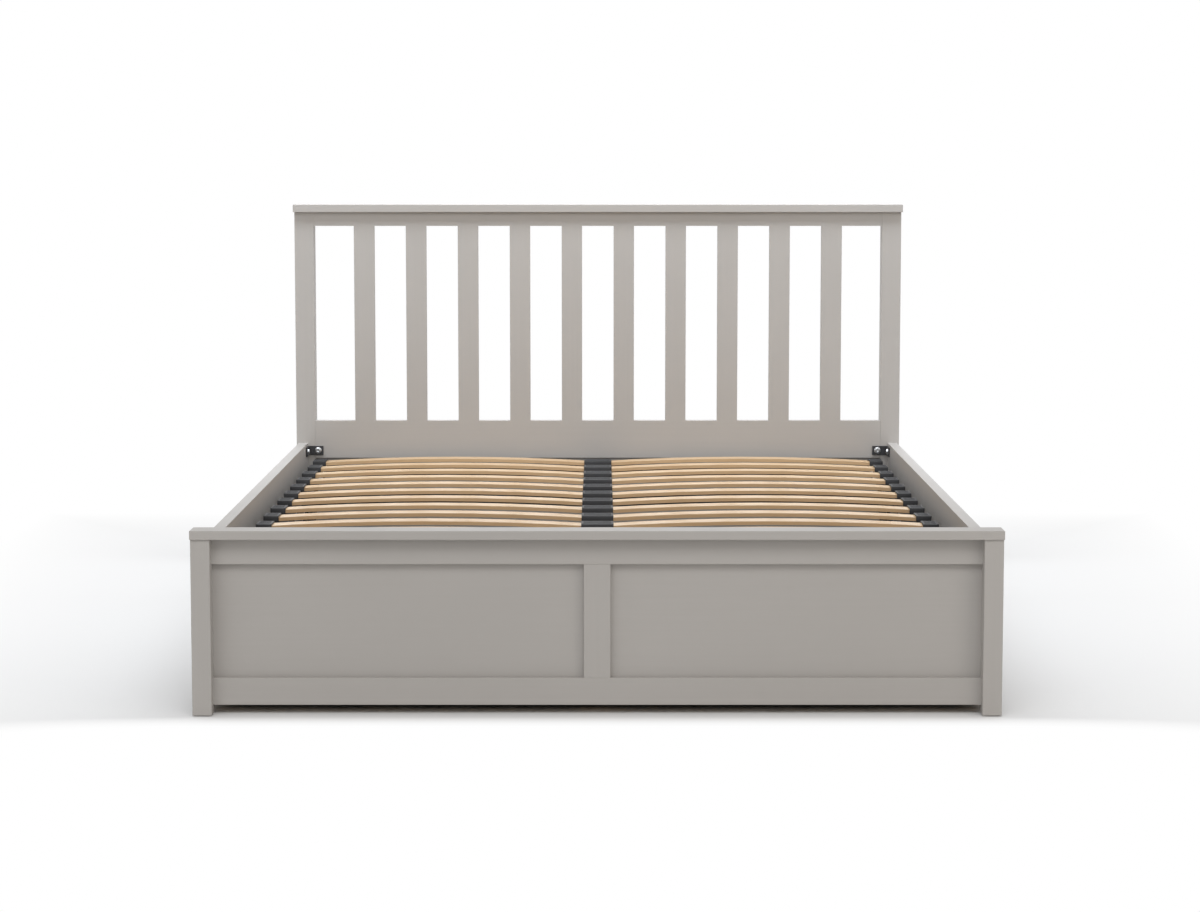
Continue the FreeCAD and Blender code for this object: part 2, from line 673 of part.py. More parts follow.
def make_pins():
    """Every pin is carried by a plate, and a head keeps its link or strut on."""
    fixed = []
    moving = []
    rear_head = REAR_LINK_FACE + " - head_gap"
    front_head = FRONT_LINK_FACE + " - head_gap"
    front_spacer = FRONT_LINK_OUTER + " + head_gap"
    front_end = front_spacer + " + pin_head_thick"
    rear_spacer = BASE_FACE + " - plane_gap + head_gap"
    rear_end = rear_spacer + " + pin_head_thick"
    eye_outer = STRUT_MIDDLE + " + socket_thick / 2 + head_gap"
    eye_inner = STRUT_MIDDLE + " - socket_thick / 2 - head_gap"
    for name, sign in SIDES:
        fixed.append(pin("rear_base_pin_" + name, sign, REAR_BASE,
                         (("round", "pin_radius", rear_head, BASE_FACE),
                          ("hexagonal", "pin_head_radius", rear_head + " - pin_head_thick", rear_head))))
        fixed.append(pin("front_base_pin_" + name, sign, FRONT_BASE,
                         (("hexagonal", "spacer_radius", front_spacer, BASE_FACE),
                          ("round", "pin_radius", front_head, front_spacer),
                          ("hexagonal", "pin_head_radius", front_head + " - pin_head_thick", front_head))))
        fixed.append(pin("strut_base_pin_" + name, sign, STRUT_BASE,
                         (("hexagonal", "stud_radius", eye_outer, BASE_FACE),
                          ("round", "pin_radius", eye_inner, eye_outer),
                          ("hexagonal", "pin_head_radius", eye_inner + " - pin_head_thick", eye_inner))))
        moving.append(pin("strut_stud_" + name, sign, STRUT_PLATE,
                          (("hexagonal", "stud_radius", eye_outer, PLATFORM_HALF),)))
        moving.append(pin("front_plate_pin_" + name, sign, FRONT_PLATE,
                          (("round", "pin_radius", PLATE_OUTER, front_spacer),
                           ("hexagonal", "pin_head_radius", front_spacer, front_end))))
        moving.append(pin("rear_plate_pin_" + name, sign, REAR_PLATE,
                          (("hexagonal", "spacer_radius", PLATE_OUTER, rear_head),
                           ("round", "pin_radius", rear_head, rear_spacer),
                           ("hexagonal", "pin_head_radius", rear_spacer, rear_end))))
    group("base_pins", fixed)
    group("platform_pins", moving)


def strut_socket(body, name, middle, neck_start, bored):
    """The flat round socket at the end of a strut, across the strut's axis, and its square neck."""
    neck = body.newObject("PartDesign::AdditiveBox", name + "_neck")
    neck.AttachmentSupport = [(plane(body, "XY_Plane"), "")]
    neck.MapMode = "FlatFace"
    for prop, text in (("Length", "socket_thick"), ("Width", "neck_length"), ("Height", "neck_width"),
                       ("AttachmentOffset.Base.x", "-socket_thick / 2"),
                       ("AttachmentOffset.Base.y", neck_start),
                       ("AttachmentOffset.Base.z", "-neck_width / 2")):
        neck.setExpression(prop, ex(text))
    sketch = sketch_on(body, "YZ_Plane", name + "_socket")
    circle(sketch, middle, "0", "socket_radius")
    pad(body, sketch, "socket_thick", name + "_socket_pad").SideType = "Symmetric"
    if bored:
        hole = sketch_on(body, "YZ_Plane", name + "_bore")
        circle(hole, middle, "0", FIT_HOLE)
        cut = body.newObject("PartDesign::Pocket", name + "_bore_cut")
        cut.Profile = hole
        cut.SideType = "Symmetric"
        cut.setExpression("Length", ex("2 * socket_thick"))


def make_struts():
    tube_end = "(%s - neck_length - rod_shown)" % STRUT_LENGTH
    bore = "(strut_radius - strut_wall)"
    guide_hole = "(rod_radius + rod_fit)"
    guide_start = tube_end + " - strut_guide"
    base = "(neck_length + strut_base_land)"
    cylinder = [("0", "neck_length"), ("strut_radius", "neck_length"), ("strut_radius", tube_end),
                (guide_hole, tube_end), (guide_hole, guide_start), (bore, guide_start), (bore, base),
                ("0", base)]
    piston = bore + " - rod_fit"
    piston_start = base + " + piston_length"
    piston_end = piston_start + " + piston_length"
    neck_start = "(%s - neck_length)" % STRUT_LENGTH
    rod = [("0", piston_start), (piston, piston_start), (piston, piston_end), ("rod_radius", piston_end),
           ("rod_radius", neck_start), ("0", neck_start)]
    for name, sign in SIDES:
        for part, profile, pivot, neck, bored in (("strut_cylinder_", cylinder, "0", "0", True),
                                                  ("strut_rod_", rod, STRUT_LENGTH, neck_start, False)):
            label = part + name
            body = turned(label, profile)
            document.recompute()
            strut_socket(body, label, pivot, neck, bored)
            body.setExpression("Placement", ex(
                "placement(vector(%d * (%s); %s; strut_base_up); rotation(vector(1; 0; 0); %s))"
                % (sign, STRUT_MIDDLE, along("strut_base_back"), STRUT_ANGLE)))
            keep(body, label)


# Lifting platform

def tube(label, origin, long_axis, length, kept=True):
    """A square steel tube along X or Y, made as one box less a smaller one."""
    inner = "(tube_size - 2 * tube_wall)"
    if long_axis == "y":
        outer = block(label + "_outer", origin, ("tube_size", length, "tube_size"))
        corner = (origin[0] + " + tube_wall", origin[1], origin[2] + " + tube_wall")
        inside = block(label + "_inside", corner, (inner, length, inner))
    else:
        outer = block(label + "_outer", origin, (length, "tube_size", "tube_size"))
        corner = (origin[0], origin[1] + " + tube_wall", origin[2] + " + tube_wall")
        inside = block(label + "_inside", corner, (length, inner, inner))
    cut = document.addObject("Part::Cut", label)
    cut.Base = outer
    cut.Tool = inside
    return keep(cut, label) if kept else cut


def make_platform():
    side_inner = "(%s - tube_size)" % PLATFORM_HALF
    for name, sign in SIDES:
        tube("platform_side_" + name,
             (side(sign, side_inner, "tube_size"), PLATFORM_FOOT + " + cap_thick", "platform_bottom"),
             "y", PLATFORM_LENGTH + " - 2 * cap_thick")
    span = "(2 * %s)" % side_inner
    tube("platform_foot_tube", ("-" + side_inner, PLATFORM_FOOT, "platform_bottom"), "x", span)
    tube("platform_head_tube",
         ("-" + side_inner, "%s + %s - tube_size" % (PLATFORM_FOOT, PLATFORM_LENGTH), "platform_bottom"),
         "x", span)
    inner_length = "(%s - 2 * tube_size)" % PLATFORM_LENGTH
    tube("platform_centre_tube", ("-tube_size / 2", PLATFORM_FOOT + " + tube_size", "platform_bottom"),
         "y", inner_length)
    cross = []
    for index in range(int(size("cross_count"))):
        start = "%s + tube_size + %s * (%d + 1) / (cross_count + 1) - tube_size / 2" % (
            PLATFORM_FOOT, inner_length, index)
        for name, sign in SIDES:
            length = "(%s - tube_size / 2)" % side_inner
            cross.append(tube("platform_cross_%s_%d" % (name, index),
                              (side(sign, "tube_size / 2", length), start, "platform_bottom"),
                              "x", length, kept=False))
    group("platform_cross_tubes", cross)
    caps = []
    plug = "(tube_size - 2 * tube_wall - 2 * cap_plug_gap)"
    for name, sign in SIDES:
        for end in ("foot", "head"):
            foot_end = end == "foot"
            plate_y = PLATFORM_FOOT if foot_end else "%s + %s - cap_thick" % (PLATFORM_FOOT, PLATFORM_LENGTH)
            plug_y = plate_y + (" + cap_thick" if foot_end else " - cap_plug")
            tag = "%s_%s" % (end, name)
            corner = (side(sign, side_inner, "tube_size"), plate_y, "platform_bottom")
            flange = block("cap_flange_" + tag, corner, ("tube_size", "cap_thick", "tube_size"))
            inset = "(tube_wall + cap_plug_gap)"
            corner = (side(sign, side_inner + " + " + inset, plug), plug_y, "platform_bottom + " + inset)
            stem = block("cap_plug_" + tag, corner, (plug, "cap_plug", plug))
            cap = document.addObject("Part::Fuse", "tube_cap_" + tag)
            cap.Base = flange
            cap.Tool = stem
            caps.append(cap)
    group("tube_caps", caps)


SLAT_STEP = "((%s - 2 * first_slat - slat_width) / (slat_count - 1))" % PLATFORM_LENGTH
HOLDER_HEIGHT = "(2 * holder_floor + pocket_height)"
HOLDER_WIDTH = "(slat_width + 2 * slat_side_gap + 2 * holder_wall)"
POCKET_WIDTH = "(slat_width + 2 * slat_side_gap)"
SLAT_START = "(%s + first_slat)" % PLATFORM_FOOT
HOLDER_START = "(%s - slat_side_gap - holder_wall)" % SLAT_START


def holder_row(label, x, length, pockets):
    """A row of plastic slat holders; pockets are pairs of start and length along X."""
    body = document.addObject("PartDesign::Body", label)
    sketch = sketch_on(body, "XY_Plane", label + "_outline")
    outline(sketch, rectangle(length, HOLDER_WIDTH))
    features = [pad(body, sketch, HOLDER_HEIGHT, label + "_pad")]
    for index, (start, reach) in enumerate(pockets):
        features.append(hollow(body, "%s_pocket_%d" % (label, index), (start, "holder_wall", "holder_floor"),
                               (reach, POCKET_WIDTH, "pocket_height")))
    place(body, x, HOLDER_START, PLATFORM_TOP)
    document.recompute()
    spread(body, features, "Y_Axis", SLAT_STEP, "slat_count", label + "_row")
    return keep(body, label)


def make_slats():
    pocket = "(holder_length - holder_wall)"
    for name, sign in SIDES:
        start = side(sign, "(%s - holder_length)" % PLATFORM_HALF, "holder_length")
        pocket_start = "0" if sign > 0 else "holder_wall"
        holder_row("slat_holders_" + name, start, "holder_length", [(pocket_start, pocket)])
    centre_length = "(holder_web + 2 * %s)" % pocket
    holder_row("slat_holders_centre", "-%s / 2" % centre_length, centre_length,
               [("0", pocket), (pocket + " + holder_web", pocket)])
    inner_end = "(holder_web / 2 + slat_end_gap)"
    span = "(%s - holder_wall - slat_end_gap - %s)" % (PLATFORM_HALF, inner_end)
    bend = "(((%s)^2 / 4 + slat_rise^2) / (2 * slat_rise))" % span
    for name, sign in SIDES:
        label = "sprung_slats_" + name
        body = document.addObject("PartDesign::Body", label)
        sketch = sketch_on(body, "XZ_Plane", label + "_profile")
        long = value(span)
        thick = value("slat_thick")
        rise = value("slat_rise")
        lower = sketch.addGeometry(Part.Arc(Vector(long, 0, 0), Vector(long / 2, rise, 0),
                                            Vector(0, 0, 0)), False)
        near = sketch.addGeometry(Part.LineSegment(Vector(0, 0, 0), Vector(0, thick, 0)), False)
        upper = sketch.addGeometry(Part.Arc(Vector(long, thick, 0), Vector(long / 2, rise + thick, 0),
                                            Vector(0, thick, 0)), False)
        far = sketch.addGeometry(Part.LineSegment(Vector(long, thick, 0), Vector(long, 0, 0)), False)
        for first, first_end, second, second_end in ((lower, 2, near, 1), (near, 2, upper, 2),
                                                     (upper, 1, far, 1), (far, 2, lower, 1)):
            sketch.addConstraint(Sketcher.Constraint("Coincident", first, first_end, second, second_end))
        sketch.addConstraint(Sketcher.Constraint("Coincident", near, 1, -1, 1))
        sketch.addConstraint(Sketcher.Constraint("Vertical", near))
        sketch.addConstraint(Sketcher.Constraint("Vertical", far))
        sketch.addConstraint(Sketcher.Constraint("PointOnObject", far, 2, -1))
        hold(sketch, "DistanceY", near, 1, near, 2, "slat_thick")
        hold(sketch, "DistanceY", far, 2, far, 1, "slat_thick")
        hold(sketch, "DistanceX", -1, 1, far, 2, span)
        hold(sketch, "Radius", lower, bend)
        hold(sketch, "Radius", upper, bend)
        solid = pad(body, sketch, "slat_width", label + "_pad", backwards=True)
        place(body, side(sign, inner_end, span), SLAT_START, PLATFORM_TOP + " + holder_floor")
        document.recompute()
        spread(body, [solid], "Y_Axis", SLAT_STEP, "slat_count", label + "_row")
        keep(body, label)


def make_foot_fittings():
    """The mattress bar and the pull strap on the foot tube."""
    body = document.addObject("PartDesign::Body", "mattress_bar")
    sketch = sketch_on(body, "XZ_Plane", "mattress_bar_outline")
    half = "bar_span / 2"
    inside = "bar_span / 2 - bar_thick"
    crown = "bar_height - bar_thick"
    outline(sketch, [("-" + half, "0"), ("-(%s)" % inside, "0"), ("-(%s)" % inside, crown), (inside, crown),
                     (inside, "0"), (half, "0"), (half, "bar_height"), ("-" + half, "bar_height")])
    solid = pad(body, sketch, "bar_thick", "mattress_bar_pad", backwards=True)
    middle = size("bar_height") - size("bar_thick") / 2
    outer = rounding(body, solid, edges_along(solid, "y", lambda point: point.z > middle),
                     "bar_bend + bar_thick", "mattress_bar_outer_bend")
    lowest = middle - size("bar_thick")
    rounding(body, outer, edges_along(outer, "y", lambda point: middle > point.z > lowest),
             "bar_bend", "mattress_bar_inner_bend")
    place(body, "0", PLATFORM_FOOT, PLATFORM_TOP)
    keep(body, "mattress_bar")

    strap = document.addObject("PartDesign::Body", "pull_strap")
    sketch = sketch_on(strap, "XZ_Plane", "pull_strap_profile")
    half = value("strap_span") / 2
    tall = value("strap_height")
    thick = value("strap_thick")
    tab = value("strap_tab")
    outer = sketch.addGeometry(Part.Arc(Vector(half, thick, 0), Vector(0, tall, 0),
                                        Vector(-half, thick, 0)), False)
    inner_half = half - 2 * thick
    inner = sketch.addGeometry(Part.Arc(Vector(inner_half, 0, 0), Vector(0, tall - thick, 0),
                                        Vector(-inner_half, 0, 0)), False)
    corners = {}
    for sign in (-1, 1):
        corners[sign] = [Vector(sign * half, thick, 0), Vector(sign * (half + tab), thick, 0),
                         Vector(sign * (half + tab), 0, 0), Vector(sign * inner_half, 0, 0)]
    runs = {}
    for sign in (-1, 1):
        spots = corners[sign]
        runs[sign] = [sketch.addGeometry(Part.LineSegment(spots[i], spots[i + 1]), False) for i in range(3)]
        sketch.addConstraint(Sketcher.Constraint("Coincident", runs[sign][0], 2, runs[sign][1], 1))
        sketch.addConstraint(Sketcher.Constraint("Coincident", runs[sign][1], 2, runs[sign][2], 1))
        sketch.addConstraint(Sketcher.Constraint("Horizontal", runs[sign][0]))
        sketch.addConstraint(Sketcher.Constraint("Vertical", runs[sign][1]))
        sketch.addConstraint(Sketcher.Constraint("PointOnObject", runs[sign][2], 1, -1))
        sketch.addConstraint(Sketcher.Constraint("PointOnObject", runs[sign][2], 2, -1))
        hold(sketch, "DistanceX", -1, 1, runs[sign][0], 1, "%d * strap_span / 2" % sign)
        hold(sketch, "DistanceY", -1, 1, runs[sign][0], 1, "strap_thick")
        hold(sketch, "DistanceX", -1, 1, runs[sign][1], 1, "%d * (strap_span / 2 + strap_tab)" % sign)
        hold(sketch, "DistanceX", -1, 1, runs[sign][2], 2, "%d * (strap_span / 2 - 2 * strap_thick)" % sign)
    for arc, run, end in ((outer, 0, 1), (inner, 2, 2)):
        sketch.addConstraint(Sketcher.Constraint("Coincident", arc, 1, runs[1][run], end))
        sketch.addConstraint(Sketcher.Constraint("Coincident", arc, 2, runs[-1][run], end))
    bend_of = "((%s)^2 + (%s)^2) / (2 * (%s))"
    outer_rise = "strap_height - strap_thick"
    hold(sketch, "Radius", outer, bend_of % ("strap_span / 2", outer_rise, outer_rise))
    hold(sketch, "Radius", inner, bend_of % ("strap_span / 2 - 2 * strap_thick", outer_rise, outer_rise))
    band = pad(strap, sketch, "strap_width", "pull_strap_pad")
    band.SideType = "Symmetric"
    place(strap, "0", PLATFORM_FOOT + " + tube_size / 2", PLATFORM_TOP)
    keep(strap, "pull_strap")


def make_rests():
    """Steel angles on the side rails, with rubber pads just under the platform's side tubes."""
    brackets = []
    pads = []
    shelf_top = "(platform_bottom - pad_gap - pad_thick)"
    for name, sign in SIDES:
        for spot, start in (("foot", FOOT_BACK + " + rest_foot_front"),
                            ("middle", along("rest_middle_back + rest_width"))):
            tag = "%s_%s" % (spot, name)
            upright = block("rest_upright_" + tag,
                            (side(sign, RAIL_INNER + " - rest_thick", "rest_thick"), start,
                             shelf_top + " - rest_drop"), ("rest_thick", "rest_width", "rest_drop"))
            shelf = block("rest_shelf_" + tag,
                          (side(sign, RAIL_INNER + " - rest_reach", "rest_reach"), start,
                           shelf_top + " - rest_thick"), ("rest_reach", "rest_width", "rest_thick"))
            bracket = document.addObject("Part::Fuse", "rest_bracket_" + tag)
            bracket.Base = upright
            bracket.Tool = shelf
            brackets.append(bracket)
            pad_x = side(sign, "(%s - tube_size / 2 - pad_size / 2)" % PLATFORM_HALF, "pad_size")
            pad_y = start + " + (rest_width - pad_size) / 2"
            pads.append(block("rest_pad_" + tag, (pad_x, pad_y, shelf_top),
                              ("pad_size", "pad_size", "pad_thick")))
    group("rest_brackets", brackets)
    group("rest_pads", pads)


make_footboard()
make_headboard()
make_box()
make_angles()
make_base_plates()
make_moving_plates()
make_links()
make_pins()
make_struts()
make_platform()
make_slats()
make_foot_fittings()
make_rests()
document.recompute()

for item in document.Objects:
    if "Invalid" in item.State or "Error" in item.State:
        raise RuntimeError("%s did not build: %s" % (item.Label, item.State))
os.makedirs("parts", exist_ok=True)
for node in nodes:
    if node.Shape.isNull() or not node.Shape.isValid():
        raise RuntimeError("%s has no valid shape" % node.Label)
for node in nodes:
    node.Shape.exportStep("parts/%s.step" % node.Label)
print("%d nodes written" % len(nodes))
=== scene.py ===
import math

import bmesh
import bpy
import numpy as np
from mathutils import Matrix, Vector


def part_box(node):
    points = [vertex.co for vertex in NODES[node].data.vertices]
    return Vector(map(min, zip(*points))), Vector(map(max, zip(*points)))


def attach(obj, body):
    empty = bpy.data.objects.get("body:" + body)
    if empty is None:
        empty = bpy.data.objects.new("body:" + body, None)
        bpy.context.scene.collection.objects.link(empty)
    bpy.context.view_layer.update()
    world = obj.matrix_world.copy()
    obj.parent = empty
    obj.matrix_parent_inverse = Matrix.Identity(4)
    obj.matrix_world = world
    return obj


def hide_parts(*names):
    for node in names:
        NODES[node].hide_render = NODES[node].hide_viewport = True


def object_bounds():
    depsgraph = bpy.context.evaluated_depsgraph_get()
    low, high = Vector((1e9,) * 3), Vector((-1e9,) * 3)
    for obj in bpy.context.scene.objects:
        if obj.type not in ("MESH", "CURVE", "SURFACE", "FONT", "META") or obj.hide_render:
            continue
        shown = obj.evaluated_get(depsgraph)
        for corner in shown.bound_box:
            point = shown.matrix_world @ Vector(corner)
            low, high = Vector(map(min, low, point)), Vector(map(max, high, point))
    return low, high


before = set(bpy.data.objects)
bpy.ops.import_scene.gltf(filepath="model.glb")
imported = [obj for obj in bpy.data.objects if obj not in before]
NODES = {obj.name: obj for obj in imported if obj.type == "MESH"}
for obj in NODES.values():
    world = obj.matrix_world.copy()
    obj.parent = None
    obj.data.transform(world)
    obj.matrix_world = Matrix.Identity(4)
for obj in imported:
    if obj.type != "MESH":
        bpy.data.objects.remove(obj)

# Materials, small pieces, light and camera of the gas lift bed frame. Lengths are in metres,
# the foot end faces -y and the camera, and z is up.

CAD_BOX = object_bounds()
SIDES = (("left", -1), ("right", 1))
HEXAGON = 6
FULL_TURN = 2 * math.pi


# Materials

# Sockets of Blender's Mix node that carry colours.
MIX_SHARE, MIX_FIRST, MIX_SECOND, MIX_RESULT = 0, 6, 7, 2


def srgb(red, green, blue):
    """A colour given in 0 to 255 screen values, as Blender's linear numbers."""
    linear = []
    for level in (red, green, blue):
        share = level / 255
        linear.append(share / 12.92 if share <= 0.04045 else ((share + 0.055) / 1.055) ** 2.4)
    return (*linear, 1.0)


def shaded(colour, factor, lift=0.0):
    """A linear colour made lighter or darker."""
    return (*(min(1.0, factor * channel + lift) for channel in colour[:3]), 1.0)


def fibres(axis, along, across):
    """Noise scales by axis that draw the noise out into fibres along one of them."""
    return [along if name == axis else across for name in "xyz"]


class Look:
    """A material under construction, with short calls for its nodes."""

    def __init__(self, name, colour, roughness, metallic=0.0, coat=0.0, sheen=0.0):
        self.material = bpy.data.materials.new(name)
        self.material.use_nodes = True
        self.tree = self.material.node_tree
        self.shader = self.tree.nodes["Principled BSDF"]
        self.shader.inputs["Base Color"].default_value = colour
        self.shader.inputs["Roughness"].default_value = roughness
        self.shader.inputs["Metallic"].default_value = metallic
        self.shader.inputs["Coat Weight"].default_value = coat
        self.shader.inputs["Coat Roughness"].default_value = 0.2
        self.shader.inputs["Sheen Weight"].default_value = sheen
        self.place = self.add("ShaderNodeTexCoord").outputs["Object"]

    def add(self, kind, settings=(), **inputs):
        """A node with its settings, and its inputs by name, with _ for a space."""
        node = self.tree.nodes.new(kind)
        for name, setting in dict(settings).items():
            setattr(node, name, setting)
        for name, given in inputs.items():
            self.put(given, node.inputs[name.replace("_", " ")])
        return node

    def put(self, given, socket):
        """Link another node's output to a socket, or set a plain value there."""
        if isinstance(given, bpy.types.NodeSocket):
            self.tree.links.new(given, socket)
        else:
            socket.default_value = given

    def stretch(self, x, y, z):
        """The object's own coordinates, scaled by axis."""
        return self.add("ShaderNodeMapping", Vector=self.place, Scale=(x, y, z)).outputs["Vector"]

    def noise(self, where, scale, detail=3.0, rough=0.5):
        return self.add("ShaderNodeTexNoise", Vector=where, Scale=scale, Detail=detail,
                        Roughness=rough).outputs["Fac"]

    def bands(self, direction, scale, **inputs):
        """Even waves along a direction."""
        return self.add("ShaderNodeTexWave", {"wave_type": "BANDS", "bands_direction": direction},
                        Vector=self.place, Scale=scale, **inputs).outputs["Fac"]

    def maths(self, operation, first, second=0.5, third=None):
        node = self.add("ShaderNodeMath", {"operation": operation})
        self.put(first, node.inputs[0])
        self.put(second, node.inputs[1])
        if third is not None:
            self.put(third, node.inputs[2])
        return node.outputs[0]

    def span(self, value, low, high, to_low=0.0, to_high=1.0):
        """Map the range low to high onto to_low to to_high, and clamp there."""
        node = self.add("ShaderNodeMapRange", Value=value)
        for socket, number in zip(node.inputs[1:5], (low, high, to_low, to_high)):
            socket.default_value = number
        return node.outputs["Result"]

    def mix(self, share, first, second):
        """The first colour where share is 0, the second where it is 1."""
        node = self.add("ShaderNodeMix", {"data_type": "RGBA", "blend_type": "MIX"})
        self.put(share, node.inputs[MIX_SHARE])
        self.put(first, node.inputs[MIX_FIRST])
        self.put(second, node.inputs[MIX_SECOND])
        return node.outputs[MIX_RESULT]

    def edges(self, radius):
        """How much a point lies on an edge, from 0 to about 1."""
        soft = self.add("ShaderNodeBevel", {"samples": 4}, Radius=radius).outputs["Normal"]
        sharp = self.add("ShaderNodeNewGeometry").outputs["Normal"]
        dot = self.add("ShaderNodeVectorMath", {"operation": "DOT_PRODUCT"})
        self.put(soft, dot.inputs[0])
        self.put(sharp, dot.inputs[1])
        return self.maths("SUBTRACT", 1.0, dot.outputs["Value"])

    def colour(self, given):
        self.put(given, self.shader.inputs["Base Color"])

    def roughness(self, given):
        self.put(given, self.shader.inputs["Roughness"])

    def bump(self, *layers):
        """Layers of (height, strength, distance), the coarsest first."""
        normal = None
        for height, strength, distance in layers:
            node = self.add("ShaderNodeBump", Height=height, Strength=strength, Distance=distance)
            if normal is not None:
                self.put(normal, node.inputs["Normal"])
            normal = node.outputs["Normal"]
        self.put(normal, self.shader.inputs["Normal"])


def painted(name, axis):
    """Sprayed satin paint on wood, with faint grain along the board and worn edges."""
    look = Look(name, srgb(179, 175, 171), 0.46)
    look.shader.inputs["Specular IOR Level"].default_value = 0.32
    cloud = look.noise(look.place, 1.6, 4.0)
    grain = look.noise(look.stretch(*fibres(axis, 4, 160)), 1.0, 5.0, 0.6)
    peel = look.noise(look.place, 620.0, 2.0)
    tone = look.mix(look.span(cloud, 0.3, 0.7), srgb(177, 173, 169), srgb(181, 177, 173))
    tone = look.mix(look.span(grain, 0.35, 0.65, 0.0, 0.22), tone, srgb(174, 170, 165))
    worn = look.maths("MULTIPLY", look.span(look.edges(0.0016), 0.02, 0.25),
                      look.span(look.noise(look.place, 34.0, 4.0), 0.45, 0.7, 0.0, 0.4))
    look.colour(look.mix(worn, tone, srgb(196, 192, 187)))
    look.roughness(look.span(look.noise(look.place, 9.0, 3.0), 0.2, 0.8, 0.43, 0.52))
    look.bump((grain, 0.08, 0.00015), (peel, 0.08, 0.00005))
    return look.material


def pine(name, axis):
    """Bare pine with growth rings and fine grain along the board."""
    look = Look(name, srgb(214, 186, 144), 0.6)
    rings = look.noise(look.stretch(*fibres(axis, 2, 28)), 1.0, 4.0, 0.45)
    bands = look.maths("FRACT", look.maths("MULTIPLY", rings, 9.0))
    fine = look.noise(look.stretch(*fibres(axis, 28, 392)), 1.0, 3.0, 0.6)
    tone = look.mix(look.span(bands, 0.0, 1.0), srgb(223, 197, 156), srgb(196, 159, 112))
    look.colour(look.mix(look.span(fine, 0.35, 0.7, 0.0, 0.5), tone, srgb(181, 143, 98)))
    look.roughness(look.span(fine, 0.2, 0.8, 0.5, 0.68))
    look.bump((bands, 0.12, 0.0003), (fine, 0.25, 0.0002))
    return look.material


def beech(name, middle_x, bend_radius, bend_z):
    """Bent beech ply: flecked faces, and thin layers that follow the bend on the edges."""
    ply = 0.0013
    look = Look(name, srgb(217, 184, 142), 0.38, coat=0.25)
    fleck = look.noise(look.stretch(14, 420, 420), 1.0, 3.0, 0.5)
    figure = look.noise(look.stretch(3, 46, 46), 1.0, 4.0, 0.5)
    tone = look.mix(look.span(figure, 0.3, 0.7), srgb(225, 194, 153), srgb(205, 168, 124))
    tone = look.mix(look.span(fleck, 0.56, 0.68, 0.0, 0.42), tone, srgb(178, 134, 92))

    spot = look.add("ShaderNodeSeparateXYZ", Vector=look.place).outputs
    across = look.maths("SUBTRACT", look.maths("ABSOLUTE", spot["X"]), middle_x)
    height = look.maths("SUBTRACT", spot["Z"], bend_z)
    reach = look.maths("SQRT", look.maths("ADD", look.maths("MULTIPLY", across, across),
                                          look.maths("MULTIPLY", height, height)))
    depth = look.maths("DIVIDE", look.maths("SUBTRACT", reach, bend_radius), ply)
    layer = look.span(look.maths("PINGPONG", depth, 1.0), 0.1, 0.9)
    plies = look.mix(layer, srgb(186, 140, 96), srgb(228, 200, 160))

    # The object's own normal, so that the edges stay edges when the platform is raised.
    normal = look.add("ShaderNodeNewGeometry").outputs["Normal"]
    facing = look.add("ShaderNodeVectorTransform",
                      {"vector_type": "NORMAL", "convert_from": "WORLD", "convert_to": "OBJECT"},
                      Vector=normal).outputs["Vector"]
    upward = look.add("ShaderNodeSeparateXYZ", Vector=facing).outputs["Z"]
    side_on = look.span(look.maths("ABSOLUTE", upward), 0.5, 0.8, 0.75, 0.0)
    look.colour(look.mix(side_on, tone, plies))
    look.roughness(look.span(figure, 0.2, 0.8, 0.33, 0.45))
    look.bump((fleck, 0.10, 0.0001), (layer, 0.10, 0.0001))
    return look.material


def coated(name, colour, gloss=0.5):
    """Powder coat: a fine pebbled skin, rubbed a little on the edges."""
    look = Look(name, colour, gloss)
    pebble = look.noise(look.place, 900.0, 2.0, 0.6)
    dust = look.noise(look.place, 7.0, 4.0)
    rubbed = look.maths("MULTIPLY", look.span(look.edges(0.0012), 0.03, 0.3),
                        look.span(look.noise(look.place, 60.0, 3.0), 0.42, 0.7, 0.0, 0.6))
    pale = shaded(colour, 2.6, 0.02)
    tone = look.mix(look.span(dust, 0.35, 0.7, 0.0, 0.22), colour, pale)
    look.colour(look.mix(rubbed, tone, srgb(120, 120, 122)))
    look.roughness(look.span(pebble, 0.2, 0.8, gloss - 0.08, gloss + 0.1))
    look.bump((pebble, 0.22, 0.00008))
    return look.material


def bright(name, colour, roughness):
    """Bare or plated metal with a fine surface."""
    look = Look(name, colour, roughness, metallic=1.0)
    fine = look.noise(look.place, 260.0, 3.0)
    stain = look.noise(look.place, 30.0, 4.0)
    look.colour(look.mix(look.span(stain, 0.4, 0.75, 0.0, 0.5), colour, shaded(colour, 0.72)))
    look.roughness(look.span(fine, 0.2, 0.8, roughness - 0.06, roughness + 0.1))
    look.bump((fine, 0.08, 0.00004))
    return look.material


def moulded(name, colour, roughness=0.55, grain=420.0):
    """Moulded plastic or rubber with a spark-eroded grain."""
    look = Look(name, colour, roughness)
    grainy = look.noise(look.place, grain, 2.0, 0.6)
    scuff = look.noise(look.place, 22.0, 5.0)
    pale = shaded(colour, 1.8, 0.02)
    look.colour(look.mix(look.span(scuff, 0.45, 0.75, 0.0, 0.4), colour, pale))
    look.roughness(look.span(scuff, 0.2, 0.8, roughness - 0.08, roughness + 0.12))
    look.bump((grainy, 0.25, 0.0001))
    return look.material


